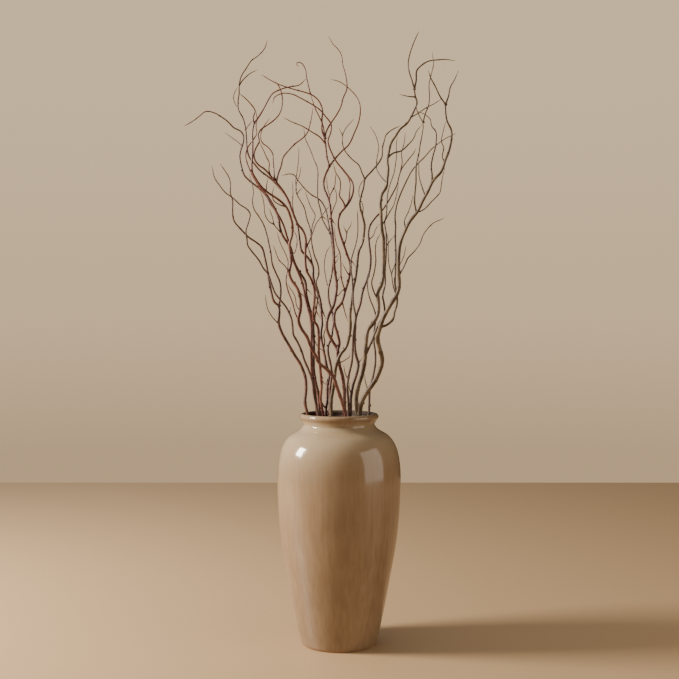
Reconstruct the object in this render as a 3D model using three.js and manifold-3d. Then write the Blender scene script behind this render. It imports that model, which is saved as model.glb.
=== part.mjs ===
// Curly willow stems standing in a tall glazed floor vase.
//
// Units are millimetres, +Z is up. The origin is the middle of the vase's flat underside, +X is to
// the right and -Y is towards the front. Every willow stem is one solid with its own twigs, because
// it grew as one piece; the stems stand loose on the vase's floor and lean in its neck.

import * as THREE from 'three';
import { mergeVertices } from 'three/addons/utils/BufferGeometryUtils.js';
import Module from 'manifold-3d';

const wasm = await Module();
wasm.setup();

// ---- driving dimensions -------------------------------------------------------------------------

const VASE_HEIGHT = 500;
const FOOT_RADIUS = 79; // flat resting disc, inside the rounded edge of the foot
const FLOOR_THICKNESS = 10;
const LIP_RADIUS = 6.2; // the rolled lip is a half-round bead
const LIP_CENTRE = 80; // radius of the circle that the bead's centre runs on
const VASE_SIDES = 44;

const EYE = { y: -2310, z: 708 }; // where a viewer stands; the crown is laid out as seen from here
const CROWN_HEIGHT = 800; // from the rim to the highest tips
const CROWN_FAN = 3; // how many times deeper the crown is at its top than the bunch at the rim
const SWAY = { low: 2, high: 13, wave: 290 }; // curl in depth: half width low and high, length of a wave
const TAPER = 1.25; // above 1 the rod stays thick for longer before it thins out
const STEM_TIP = 1.0; // radius where a main stem ends
const TWIG_TIP = 0.8; // radius where a twig ends
const STEM_SIDES = 6;
const TWIG_SIDES = 4;
const CUT_END = FLOOR_THICKNESS + 0.4; // the cut ends stand just off the vase's floor
const MERGE_DISTANCE = 1e-4;

// ---- the vase -----------------------------------------------------------------------------------

// Outline of the outside, from the foot up to the neck: [radius, height].
const VASE_OUTSIDE = [
  [84, 6], [94, 50], [109, 128], [127, 233], [133.5, 320], [133, 390], [124, 429], [109, 451],
  [84, 467], [76.5, 477],
];

// Outline of the inside, from the neck down to the floor: [radius, height].
const VASE_INSIDE = [
  [69.5, 486], [68, 477], [73, 466], [95, 449], [111, 433], [121.5, 405], [125, 355], [124, 300],
  [117, 230], [99, 128], [85, 50], [76, 20],
];

function vaseProfile() {
  const outside = new THREE.SplineCurve(VASE_OUTSIDE.map(([r, z]) => new THREE.Vector2(r, z)));
  const inside = new THREE.SplineCurve(VASE_INSIDE.map(([r, z]) => new THREE.Vector2(r, z)));
  const bead = new THREE.Path();
  bead.absarc(LIP_CENTRE, VASE_HEIGHT - LIP_RADIUS, LIP_RADIUS, -0.3 * Math.PI, 1.15 * Math.PI);
  return [
    new THREE.Vector2(0, 0),
    new THREE.Vector2(FOOT_RADIUS, 0),
    new THREE.Vector2(FOOT_RADIUS + 3.5, 1.6),
    ...outside.getPoints(22),
    ...bead.getPoints(9),
    ...inside.getPoints(18),
    new THREE.Vector2(70, FLOOR_THICKNESS),
    new THREE.Vector2(0, FLOOR_THICKNESS),
  ];
}

function vaseGeometry() {
  const geometry = new THREE.LatheGeometry(vaseProfile(), VASE_SIDES);
  geometry.rotateX(Math.PI / 2);
  return closed(geometry);
}

// ---- the stems ----------------------------------------------------------------------------------

// A stem's route is drawn on the upright plane through the vase's axis, as [across, up]. Above the
// rim each point is then carried along the line of sight from EYE to its depth, so that the crown
// keeps its outline from the front. `foot` is where the cut end stands on the vase's floor, [x, y].
// `depth` is the stem's y at the rim: the stems cross in front of and behind each other, each in
// its own layer, and the layers fan out towards the top. `thick` is the radius at the cut end.
// A twig starts on its parent, `lean` is how far it comes forward (-) or goes back (+) per
// millimetre of its length, and a twig may carry twigs of its own.
const STEMS = [
  {
    name: 'stem_far_left', bark: 'brown', thick: 3.5, foot: [-40, 4], depth: 0, phase: 0.4,
    route: [
      [-62, 472], [-69, 500], [-74, 523], [-72, 550], [-73, 577], [-83, 605], [-96, 626],
      [-111, 652], [-124, 675], [-131, 696], [-130, 716], [-131, 733], [-141, 743], [-147, 763],
      [-152, 787], [-156, 814], [-161, 838], [-167, 860], [-180, 872], [-195, 882], [-212, 899],
      [-228, 919], [-231, 938], [-231, 962], [-236, 980], [-235.5, 998], [-239, 1013],
      [-251, 1032], [-256, 1040],
    ],
    twigs: [
      {
        thick: 2.1, lean: 0.12,
        route: [
          [-131, 733], [-127, 755], [-128, 784], [-137, 805], [-145, 825], [-148, 847],
          [-153, 872], [-158, 893], [-164, 911], [-174, 928], [-184, 943], [-188, 962],
          [-185.5, 980], [-188, 997], [-194, 1018],
        ],
      },
      { thick: 1.2, lean: -0.3, route: [[-130.5, 694], [-146, 711], [-156, 730], [-160, 755]] },
    ],
  },
  {
    name: 'stem_thin_left', bark: 'grey', thick: 2.5, foot: [-28, -24], depth: -33, phase: 1.1,
    route: [
      [-40, 472], [-46, 500], [-54, 537], [-58, 568], [-66, 594], [-75, 615], [-81, 634],
      [-90, 655], [-99, 671], [-101, 690], [-104, 708], [-115, 731], [-127, 746], [-139, 762],
      [-147, 783], [-154, 803], [-164, 815], [-174, 833], [-190, 853], [-198, 865], [-200, 880],
      [-202, 897], [-196, 917], [-193, 934], [-200, 944], [-214, 953], [-229, 967], [-247, 980],
      [-258, 994], [-270, 1012], [-275, 1034],
    ],
    twigs: [
      { thick: 1.0, lean: 0.2, route: [[-103, 705], [-107, 716], [-105, 730]] },
    ],
  },
  {
    name: 'stem_sweeping_left', bark: 'brown', thick: 3.5, foot: [-26, 14], depth: 18, phase: 2.0,
    route: [
      [-38, 472], [-42.5, 500], [-45, 540], [-52, 573], [-55.5, 600], [-55, 640], [-56, 680],
      [-58, 705], [-65, 732], [-71, 757], [-74, 788], [-86, 807], [-96, 826], [-101, 842],
      [-104, 858], [-112, 871], [-122, 886], [-128, 903], [-131, 922], [-138, 941], [-148, 955],
      [-156, 970], [-167, 983], [-180, 994], [-194, 1005], [-206, 1018], [-212, 1037],
      [-215.5, 1057], [-213, 1071], [-208, 1087], [-207, 1102], [-213, 1112], [-228, 1120],
      [-242, 1134], [-256, 1144], [-268, 1151], [-282, 1155], [-291, 1154], [-301, 1146],
      [-314, 1136], [-333, 1124.5],
    ],
    twigs: [
      { thick: 1.1, lean: -0.3, route: [[-71.5, 772], [-67, 768], [-63, 763], [-60, 760]] },
      { thick: 1.2, lean: 0.35, route: [[-210.5, 1079], [-217, 1087], [-229, 1096], [-245, 1108]] },
      {
        thick: 1.3, lean: -0.25,
        route: [[-123, 889], [-132, 899], [-141, 911], [-145, 928], [-151, 943]],
        twigs: [{
          thick: 1.1, lean: -0.3,
          route: [[-140, 910], [-152, 917], [-161, 934], [-162.5, 952], [-165, 967], [-170, 980]],
        }],
      },
      { thick: 1.1, lean: -0.2, route: [[-55.5, 668], [-49, 650], [-40, 640], [-33, 636]] },
    ],
  },
  {
    name: 'stem_inner_left', bark: 'red', thick: 3.1, foot: [-32, 6], depth: 8, phase: 1.7,
    route: [
      [-43, 472], [-48, 500], [-51, 535], [-55, 565], [-59, 590], [-60, 625], [-60, 655],
      [-60, 685], [-63, 712], [-68, 732], [-74, 756], [-79, 781], [-87, 803], [-95, 822],
      [-102, 838], [-107, 855], [-109, 872], [-114, 888], [-119, 905], [-127, 923], [-136, 939],
      [-144, 955], [-154, 971], [-165, 984], [-175, 995], [-183, 1008], [-191, 1023],
      [-199, 1043], [-202.5, 1060], [-198, 1077], [-188, 1091], [-178.5, 1107], [-180, 1123],
      [-177.5, 1138], [-180, 1155],
    ],
    twigs: [
      { thick: 1.1, lean: 0.3, route: [[-107, 856], [-98, 848], [-92, 866], [-92, 884], [-98, 897]] },
    ],
  },
  {
    name: 'stem_front_left', bark: 'red', thick: 2.9, foot: [-24, -34], depth: -44, phase: 0.2,
    route: [
      [-31, 472], [-35, 500], [-40, 529], [-38, 560], [-41, 600], [-44, 630], [-44, 665],
      [-46, 688], [-54, 702], [-56, 720], [-53, 748], [-54, 773], [-61, 793], [-70, 810],
      [-73, 837], [-72.5, 860], [-72, 880], [-78, 897], [-89, 911], [-96, 926], [-103, 945],
      [-110, 964], [-121, 983], [-134, 1000], [-146, 1013], [-160, 1029], [-175, 1040],
      [-183, 1052], [-184, 1065], [-179, 1078], [-173, 1090], [-175, 1104], [-169, 1116],
      [-156, 1125], [-141, 1136], [-130, 1148], [-124, 1164], [-122.5, 1182], [-126, 1200],
      [-131, 1211], [-137, 1218],
    ],
    twigs: [
      { thick: 1.2, lean: -0.3, route: [[-39, 580], [-36, 571], [-33, 566], [-30, 564]] },
      { thick: 1.7, lean: -0.3, route: [[-54, 742], [-51, 729], [-47, 718], [-42, 710]] },
      { thick: 1.6, lean: -0.2, route: [[-54, 702], [-50, 722], [-47, 742], [-46, 760], [-50, 775]] },
      { thick: 1.2, lean: 0.25, route: [[-99, 936], [-101, 955], [-100, 978], [-101, 1001]] },
      {
        thick: 1.4, lean: -0.2,
        route: [
          [-72.5, 858], [-64, 875], [-57, 893], [-50, 912], [-38, 928], [-29, 941], [-21, 949],
        ],
        twigs: [{ thick: 1.0, lean: -0.3, route: [[-38, 928], [-33, 926], [-27, 921]] }],
      },
      {
        thick: 1.4, lean: 0.15,
        route: [
          [-140, 1007], [-141, 1026], [-143, 1050], [-144, 1064], [-153, 1077], [-166, 1087],
          [-170, 1100], [-165, 1119], [-152, 1138],
        ],
      },
      {
        thick: 1.8, lean: -0.22,
        route: [
          [-136, 1002], [-132, 1019], [-125, 1039], [-121, 1056], [-109, 1071], [-94, 1086],
          [-78, 1098], [-68, 1110], [-63, 1126], [-59, 1145], [-57, 1160],
        ],
      },
      {
        thick: 1.2, lean: -0.15,
        route: [[-149, 1017], [-152, 1030], [-151, 1043], [-158, 1058], [-165, 1074], [-171, 1086]],
      },
    ],
  },
  {
    name: 'stem_crossing', bark: 'red', thick: 3.7, foot: [22, -38], depth: -52, phase: 0,
    route: [
      [16, 472], [12.6, 505], [5.5, 528], [-4, 556], [-13, 581], [-28, 597], [-42, 609],
      [-51, 626], [-61, 645], [-70, 667], [-82, 685], [-88, 703], [-84, 724], [-83, 747],
      [-91, 773], [-103, 790], [-108, 807], [-104, 828], [-105, 849], [-107, 869], [-102, 887],
      [-101, 909], [-106, 930], [-114, 948], [-132, 965], [-152, 978], [-168, 992],
      [-180, 1009], [-188, 1024], [-189, 1041], [-187.5, 1062], [-187, 1085], [-187.5, 1108],
      [-184, 1128], [-173, 1144], [-163, 1161], [-153, 1180], [-143, 1194], [-125, 1203],
      [-107, 1208], [-86, 1212], [-74, 1223],
    ],
    twigs: [
      { thick: 1.6, lean: -0.15, route: [[-43, 610], [-41, 598], [-38, 586], [-36, 578]] },
      { thick: 1.4, lean: -0.4, route: [[-90, 772], [-84, 762], [-79, 757], [-75, 753]] },
      {
        thick: 1.5, lean: 0.1,
        route: [
          [-88, 703], [-95, 718], [-101, 741], [-111, 768], [-115, 790], [-112, 812],
          [-111, 832], [-117, 848], [-127, 869], [-134, 892],
        ],
      },
      { thick: 1.0, lean: -0.3, route: [[-84, 722], [-92, 734], [-96, 755], [-110, 778]] },
      {
        thick: 1.1, lean: -0.35,
        route: [[-107, 804], [-117, 820], [-130, 833], [-137, 850], [-141, 862]],
      },
      {
        thick: 1.5, lean: -0.15,
        route: [
          [-184, 1128], [-186, 1141], [-182, 1157], [-192, 1172], [-207, 1187], [-215, 1193],
        ],
      },
      { thick: 1.0, lean: -0.4, route: [[-158, 983], [-157, 995], [-154.5, 1009]] },
      {
        thick: 1.3, lean: -0.2,
        route: [[-115, 949], [-128, 953], [-142, 963], [-144.5, 978], [-141, 992]],
      },
    ],
  },
  {
    name: 'stem_tall_left', bark: 'brown', thick: 3.4, foot: [-16, 34], depth: 42, phase: 2.9,
    route: [
      [-24, 472], [-29, 500], [-26, 530], [-25, 560], [-21, 583], [-27, 603], [-31, 624],
      [-36, 648], [-39.5, 672], [-37, 697], [-39, 722], [-41, 746], [-50, 775], [-56, 797],
      [-57, 820], [-69, 840], [-81, 853], [-85, 872], [-88, 895], [-92, 916], [-101, 938],
      [-109, 957], [-117, 975], [-130, 991], [-142, 1004], [-155, 1015], [-171, 1027],
      [-184, 1042], [-195, 1057], [-199.5, 1075], [-201, 1098], [-203, 1120], [-208, 1140],
      [-218, 1159], [-219, 1175], [-216.5, 1194], [-216, 1213], [-211, 1232], [-200, 1249],
      [-190, 1264], [-174, 1276], [-161, 1291], [-156, 1305],
    ],
    twigs: [
      { thick: 1.4, lean: -0.3, route: [[-28.5, 508], [-33, 516], [-37, 524], [-41, 529]] },
      { thick: 1.3, lean: -0.3, route: [[-21, 583], [-24, 577], [-27, 569], [-29, 565]] },
      { thick: 1.5, lean: 0.25, route: [[-34.5, 638], [-31, 655], [-33, 670], [-29, 684], [-24, 692]] },
      { thick: 2.4, lean: 0.3, route: [[-40, 738], [-37, 726], [-33, 716], [-29, 706]] },
      { thick: 1.6, lean: 0.25, route: [[-39, 722], [-44, 738], [-50, 755], [-55, 772], [-58, 784]] },
      { thick: 1.7, lean: 0.3, route: [[-57, 820], [-60, 835], [-64, 850], [-69, 866], [-73, 880]] },
      {
        thick: 1.9, lean: -0.05,
        route: [
          [-41, 745], [-45, 766], [-50, 784], [-44, 804], [-46, 824], [-53, 842], [-59, 868],
          [-62, 898], [-70, 924], [-76, 948], [-85, 964], [-93, 981], [-92, 1001], [-86, 1015],
          [-83, 1034],
        ],
        twigs: [
          {
            thick: 1.2, lean: 0.3,
            route: [[-61, 886], [-58, 908], [-52, 930], [-61, 948], [-68, 966], [-73, 980]],
          },
          { thick: 1.0, lean: -0.4, route: [[-91, 977], [-86, 984], [-80, 989]] },
          {
            thick: 1.1, lean: 0.3,
            route: [[-93, 985], [-94, 1003], [-91, 1025], [-88, 1050], [-87, 1075]],
          },
        ],
      },
      { thick: 1.2, lean: 0.3, route: [[-218, 1160], [-227, 1176], [-228, 1190], [-221, 1205]] },
      { thick: 1.4, lean: 0.35, route: [[-216, 1212], [-206, 1225], [-192, 1237], [-178, 1244]] },
      { thick: 1.1, lean: -0.4, route: [[-203, 1115], [-195, 1126], [-188, 1135]] },
    ],
  },
  {
    name: 'stem_left_of_centre', bark: 'brown', thick: 3.0, foot: [-12, 26], depth: 33, phase: 2.6,
    route: [
      [-18, 472], [-21, 500], [-20, 530], [-19, 560], [-16, 585], [-18, 605], [-23, 628],
      [-24, 645], [-17, 663], [-14, 684], [-12, 702], [-16, 724], [-22, 746], [-23, 770],
      [-17, 797], [-14, 818], [-13, 842], [-15, 866], [-18, 888], [-22, 908], [-25, 926],
      [-30, 946], [-42, 964], [-60, 975], [-76, 990], [-89, 1006], [-98, 1018], [-110, 1020],
      [-121, 1017],
    ],
    twigs: [
      {
        thick: 1.2, lean: 0.35,
        route: [
          [-22.5, 772], [-27, 786], [-30, 802], [-32, 820], [-30, 840], [-26, 853], [-20, 862],
        ],
      },
      {
        thick: 1.6, lean: 0.25,
        route: [
          [-18, 890], [-27, 904], [-36, 922], [-41, 945], [-46, 966], [-46.5, 995],
          [-46.5, 1031], [-54, 1050], [-63, 1074], [-73, 1096], [-76, 1117],
        ],
      },
    ],
  },
  {
    name: 'stem_tall_centre', bark: 'red', thick: 3.8, foot: [8, 18], depth: 24, phase: 2.3,
    route: [
      [10, 472], [12.6, 500], [12, 528], [12, 550], [8, 580], [0, 610], [-3, 638], [-14, 657],
      [-24, 676], [-27, 693], [-22, 714], [-12, 734], [-7, 757], [-5, 780], [-8, 803],
      [-11, 830], [-11, 850], [-13, 874], [-15, 900], [-18, 925], [-19, 948], [-25, 971],
      [-32, 988], [-33.5, 1002], [-29, 1019], [-22, 1036], [-26, 1055], [-28.5, 1076],
      [-31, 1096], [-37, 1115], [-37, 1137], [-36, 1159], [-44, 1178], [-56, 1189],
      [-73, 1196], [-92, 1201], [-112, 1207], [-132, 1214], [-146, 1221], [-166, 1233],
    ],
    twigs: [
      { thick: 1.2, lean: -0.4, route: [[0, 610], [8, 613], [16, 618], [22, 622], [24, 629]] },
      { thick: 1.4, lean: -0.5, route: [[-6.5, 755], [-2, 757], [4, 764], [10, 770], [14, 774]] },
      { thick: 1.2, lean: -0.4, route: [[-10.5, 822], [-6, 830], [-2, 838]] },
      { thick: 1.0, lean: 0.3, route: [[-11, 838], [-6, 841], [-2, 846]] },
      { thick: 1.1, lean: 0.4, route: [[-5, 783], [-2, 790], [2, 797]] },
      { thick: 1.9, lean: -0.4, route: [[-18, 925], [-13, 917], [-8, 911]] },
      {
        thick: 1.5, lean: 0.2,
        route: [
          [-62, 1192], [-66, 1209], [-70, 1227], [-73, 1246], [-80, 1258], [-89, 1261],
          [-92, 1256], [-87, 1252],
        ],
      },
      {
        thick: 1.6, lean: -0.15,
        route: [[-30, 1086], [-42, 1100], [-58, 1110], [-79, 1123], [-99, 1131], [-119, 1141]],
      },
      {
        thick: 2.0, lean: 0.3,
        route: [
          [-22, 1035], [-10, 1051], [6, 1069], [21, 1083], [33, 1108], [43, 1134], [46, 1163],
          [39, 1185], [22, 1204], [1, 1219], [-16, 1224],
        ],
      },
      {
        thick: 1.8, lean: 0.1,
        route: [
          [-31, 1096], [-27, 1113], [-18, 1129], [-7, 1145], [3, 1163], [9, 1184], [17, 1204],
          [15, 1230], [8, 1256], [5, 1277], [-3, 1290], [-13, 1300], [-21, 1314],
        ],
      },
      {
        thick: 1.5, lean: -0.25,
        route: [[-31, 1098], [-34, 1122], [-43, 1144], [-51, 1160], [-56, 1174], [-61, 1190]],
      },
      {
        thick: 1.5, lean: -0.3,
        route: [[-20, 952], [-20, 972], [-10, 992], [-8, 1006], [-7, 1021]],
        twigs: [{ thick: 1.0, lean: 0.4, route: [[-20, 970], [-25, 990], [-27, 1010]] }],
      },
      { thick: 1.1, lean: 0.35, route: [[-18, 925], [-13, 943], [-6, 961], [-6, 979], [-11, 991]] },
    ],
  },
  {
    name: 'stem_looping', bark: 'red', thick: 3.3, foot: [4, 9], depth: 14, phase: 1.9,
    route: [
      [9, 472], [12, 500], [11.5, 528], [11, 550], [7, 580], [-1, 612], [-3, 634], [1, 653],
      [-4, 676], [-10, 699], [-8, 722], [6, 741], [13, 764], [22, 795], [24.5, 824],
      [17, 847], [10, 868], [2, 892], [-2, 914], [3, 934], [15, 949], [25, 964], [31, 984],
      [29, 1001], [20, 1015], [7, 1031], [-6, 1047], [-17, 1068], [-24, 1091], [-18, 1110],
      [-17, 1127], [-29, 1144], [-42, 1159], [-60, 1171], [-80, 1182], [-101, 1192],
      [-122, 1194], [-140, 1185], [-143, 1174],
    ],
    twigs: [
      { thick: 1.1, lean: -0.3, route: [[24.5, 832], [28, 831], [32, 825], [35, 820]] },
      { thick: 1.1, lean: -0.4, route: [[22.5, 800], [17, 808], [12, 817], [8, 825]] },
      { thick: 1.4, lean: -0.3, route: [[7, 742], [10, 731], [14, 716], [19, 702]] },
      { thick: 1.3, lean: -0.2, route: [[11, 866], [16, 882], [17, 894], [24, 906], [27, 915]] },
      { thick: 1.0, lean: 0.3, route: [[16.5, 893], [13, 900], [10, 906]], },
      {
        thick: 1.5, lean: -0.15,
        route: [[13, 766], [5, 795], [4, 824], [2, 848], [-5, 866], [-9, 886], [-10, 905]],
      },
      {
        thick: 1.5, lean: 0.25,
        route: [[14, 948], [21, 963], [23, 981], [24, 997], [20, 1012], [9, 1026]],
      },
      {
        thick: 1.8, lean: -0.2,
        route: [[14, 948], [9, 960], [1, 973], [3, 990], [2, 1007], [-7, 1023], [-12, 1040]],
      },
    ],
  },
  {
    name: 'stem_olive_middle', bark: 'olive', thick: 4.0, foot: [-8, -14], depth: -18, phase: 0.9,
    route: [
      [-14, 472], [-17, 500], [-17, 528], [-13, 553], [-10, 580], [-6, 605], [3, 628],
      [16, 646], [22, 668], [25, 690], [24, 713], [27, 742], [31, 773], [37, 802], [40, 832],
      [43, 852], [51, 871], [54, 890], [55.5, 909], [51, 929], [46, 947], [45, 960],
      [48, 973], [53, 990], [56, 1008], [71, 1026], [84, 1041], [93, 1057], [94, 1075],
      [98, 1091], [102, 1104], [116, 1116], [131, 1123],
    ],
    twigs: [
      {
        thick: 1.4, lean: -0.25,
        route: [
          [56, 1009], [50, 1022], [43, 1039], [28, 1052], [12, 1072], [7, 1089], [8, 1101],
          [1, 1117],
        ],
        twigs: [{ thick: 0.9, lean: 0.2, route: [[7, 1103], [15, 1119], [30, 1136]] }],
      },
      {
        thick: 1.2, lean: 0.3,
        route: [[51, 931], [52, 950], [45, 967], [43, 985], [48, 1000], [54, 1008]],
      },
    ],
  },
  {
    name: 'stem_thin_centre', bark: 'grey', thick: 2.7, foot: [12, -22], depth: -27, phase: 0.6,
    route: [
      [18, 472], [21, 500], [20, 530], [18.5, 558], [22, 585], [28, 612], [30, 640], [31, 670],
      [34, 693], [36, 711], [32, 735], [30, 765], [29, 790], [26, 815], [27, 835], [31, 850],
      [36, 866], [40, 886], [41, 907], [40, 940],
    ],
    twigs: [
      { thick: 1.0, lean: -0.3, route: [[20, 574], [13, 588], [11, 602]] },
    ],
  },
  {
    name: 'stem_curving_right', bark: 'brown', thick: 3.5, foot: [14, 26], depth: 33, phase: 3.2,
    route: [
      [20, 472], [25, 500], [26, 535], [31, 563], [39, 588], [42, 607], [36, 631], [34, 655],
      [35, 682], [37, 709], [46, 737], [52, 767], [61, 791], [67, 813], [69, 838], [67, 858],
      [65, 876], [64, 892], [68, 909], [79, 925], [93, 940], [106, 959], [116, 977],
      [126, 997], [130, 1014], [136, 1031], [148, 1048], [161, 1064], [166, 1073],
    ],
    twigs: [
      { thick: 1.1, lean: 0.3, route: [[42, 607], [45, 613], [50, 620]] },
      { thick: 1.1, lean: -0.3, route: [[39, 588], [42, 596], [45, 603]] },
      { thick: 1.1, lean: -0.4, route: [[27, 541], [24, 549], [22, 557], [24, 564]] },
      {
        thick: 1.2, lean: 0.25,
        route: [[134, 1028], [137, 1046], [135.5, 1065], [141, 1086], [143.5, 1108]],
      },
      { thick: 1.1, lean: -0.3, route: [[65, 878], [74, 886], [80, 901], [86, 910]] },
    ],
  },
  {
    name: 'stem_thick_olive', bark: 'olive', thick: 4.6, foot: [24, -6], depth: -10, phase: 1.3,
    route: [
      [34, 472], [39, 500], [38, 535], [42, 558], [52, 591], [57, 622], [59, 655], [63, 681],
      [75, 697], [84, 715], [86, 740], [84.5, 762], [93, 782], [96.5, 808], [97, 837],
      [97, 862], [97, 880], [93.5, 899], [92, 920], [91, 940], [90, 958], [93, 975],
      [103, 992], [105, 1010], [107, 1030], [105, 1048], [108, 1066], [113, 1086],
      [123, 1102], [133, 1117], [148, 1130], [157, 1145], [165, 1162], [169, 1174],
      [165, 1189], [163, 1204], [158, 1222], [151, 1244], [150, 1262], [155, 1284],
      [163, 1306], [171.6, 1325],
    ],
    twigs: [
      {
        thick: 2.4, lean: 0.08,
        route: [
          [57, 624], [68, 649], [77, 672], [88, 698], [99, 718], [98, 738], [95, 756],
          [100, 780], [100, 810], [102, 840], [103, 867], [102, 893], [99, 914], [103, 935],
          [104, 960], [106, 980], [112, 1002], [119, 1021], [122.5, 1041], [125, 1065],
          [124, 1084], [126, 1097],
        ],
        twigs: [{
          thick: 1.1, lean: 0.4,
          route: [[103, 864], [108, 871], [113, 878], [118, 884]],
        }],
      },
      {
        thick: 1.8, lean: -0.2,
        route: [
          [85.5, 746], [76, 764], [71, 784], [76, 805], [80, 830], [79, 858], [82, 876],
          [90, 891],
        ],
      },
      {
        thick: 2.0, lean: 0.15,
        route: [
          [163, 1202], [167, 1222], [168, 1242], [177, 1253], [193, 1263], [212, 1266],
          [233, 1267], [248, 1264.5],
        ],
      },
      { thick: 1.4, lean: -0.3, route: [[166, 1186], [150, 1187.5], [134, 1191]] },
      {
        thick: 1.8, lean: 0.2,
        route: [
          [106, 1056], [118, 1065], [135, 1070], [149, 1082], [161, 1096], [168, 1112],
          [178, 1124],
        ],
      },
      {
        thick: 1.2, lean: -0.25,
        route: [[155, 1142], [170, 1150], [189, 1163], [205, 1171], [221, 1181]],
      },
      {
        thick: 1.2, lean: 0.35,
        route: [
          [104, 1000], [92, 1013], [82, 1030], [82, 1052], [86, 1076], [80, 1102], [69, 1120],
        ],
      },
      {
        thick: 1.4, lean: -0.25,
        route: [[92.5, 908], [101, 921], [109, 936], [118, 951], [124, 972], [129, 998]],
      },
    ],
  },
  {
    name: 'stem_thickest_right', bark: 'olive', thick: 5.2, foot: [30, -26], depth: -36, phase: 0,
    route: [
      [40, 472], [45, 500], [50, 526], [61, 546], [79, 572], [91, 600], [94, 618], [88, 643],
      [84, 664], [89, 685], [97, 708], [112, 736], [127, 761], [131, 783], [129, 811],
      [130, 845], [133, 869], [143, 896], [155, 919], [170, 938], [181, 960], [194, 984],
      [205, 1006], [222, 1025], [231, 1050], [239, 1071], [244, 1097], [243.5, 1114],
      [234, 1135], [231, 1154], [230, 1170], [219, 1187], [209, 1208], [198, 1229],
      [194, 1241],
    ],
    twigs: [
      { thick: 1.2, lean: 0.35, route: [[63, 548], [60, 560], [57, 571], [56, 582]] },
      {
        thick: 2.6, lean: 0.1,
        route: [
          [90, 688], [103, 692], [117, 704], [121, 721], [126, 738], [126, 757], [122, 780],
          [122, 805], [123, 835], [123, 860], [122, 885], [123, 907], [121.5, 926], [124, 947],
          [131, 970], [140, 991], [150, 1012], [159, 1028], [174, 1045], [187, 1058],
          [199, 1072], [212, 1083], [230, 1096], [252, 1106.5],
        ],
        twigs: [
          {
            thick: 1.2, lean: -0.15,
            route: [
              [126, 752], [118, 776], [114, 803], [109, 822], [107, 846], [107, 872], [104, 892],
            ],
            twigs: [{
              thick: 1.2, lean: -0.3,
              route: [[114, 803], [117, 812], [121, 822], [125, 831]],
            }],
          },
        ],
      },
      { thick: 1.6, lean: -0.3, route: [[230, 1168], [237, 1187], [241, 1207], [250, 1223], [257, 1239]] },
      {
        thick: 1.9, lean: 0.2,
        route: [
          [202, 1001], [202, 1016], [200, 1036], [203, 1056], [209, 1078], [211, 1095],
          [210, 1111], [201, 1123], [197, 1139], [185, 1149], [173, 1154],
        ],
      },
      {
        thick: 1.8, lean: -0.2,
        route: [
          [168, 936], [164, 959], [165, 982], [167, 1002], [167, 1022], [168, 1042],
          [173, 1063], [176, 1084], [180, 1105], [182, 1128], [174, 1146], [168, 1160],
          [168, 1180],
        ],
        twigs: [
          {
            thick: 1.3, lean: -0.2,
            route: [
              [182, 1130], [187, 1150], [194, 1168], [196, 1190], [195, 1213], [200, 1236],
              [204.5, 1256], [202, 1279],
            ],
          },
        ],
      },
      { thick: 1.3, lean: -0.3, route: [[145, 901], [142, 918], [150, 937], [156, 953], [160, 971]] },
      {
        thick: 1.3, lean: -0.3,
        route: [
          [168, 936], [184, 943], [201, 960], [219, 980], [222, 997], [225, 1015], [229, 1030],
        ],
      },
      { thick: 1.4, lean: 0.3, route: [[187, 972], [180, 992], [174, 1013], [173, 1035], [173, 1048]] },
      {
        thick: 1.6, lean: -0.3,
        route: [
          [130, 799], [140, 817], [150, 838], [164, 853], [176, 870], [184, 890], [204, 913],
          [226, 923],
        ],
      },
      { thick: 1.0, lean: -0.5, route: [[129.5, 818], [141, 843], [145, 863]] },
      {
        thick: 1.3, lean: 0.35,
        route: [[229, 1045], [224, 1057], [227, 1076], [222, 1091], [225, 1108], [230, 1129]],
      },
    ],
  },
  {
    name: 'stem_short_right', bark: 'grey', thick: 2.8, foot: [38, 2], depth: 4, phase: 1.5,
    route: [
      [60, 472], [65, 500], [66, 528], [67, 552], [74, 580], [79, 608], [79, 634], [76, 656],
      [77, 683], [80, 711], [75, 730], [68, 747], [63, 766], [62, 785], [66, 806],
    ],
    twigs: [],
  },
];

const BARK_COLOURS = { red: 0x5a2f22, brown: 0x4b3426, grey: 0x5d5247, olive: 0x4f4a33 };

// Depth of a main stem at a height: its layer, fanned out above the rim, with a curl of its own.
function layerDepth(stem, height) {
  const rise = Math.max(0, height - VASE_HEIGHT) / CROWN_HEIGHT;
  const reach = SWAY.low + (SWAY.high - SWAY.low) * rise;
  const curl = Math.sin((2 * Math.PI * (height - VASE_HEIGHT)) / SWAY.wave + stem.phase);
  return stem.depth * (1 + CROWN_FAN * rise) + reach * curl * Math.min(1, 8 * rise);
}

// Carries a point of the upright plane along the line of sight to its depth.
function alongSight([across, up], depth) {
  const scale = (depth - EYE.y) / -EYE.y;
  return new THREE.Vector3(across * scale, depth, EYE.z + (up - EYE.z) * scale);
}

function placeStem(stem) {
  const [neck, ...visible] = stem.route;
  const depths = stem.route.map(([, up]) => layerDepth(stem, up));
  const points = [
    new THREE.Vector3(stem.foot[0], stem.foot[1], CUT_END),
    new THREE.Vector3(neck[0], stem.depth, neck[1]),
    ...visible.map((point, i) => alongSight(point, depths[i + 1])),
  ];
  return { route: stem.route, depths, points };
}

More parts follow.
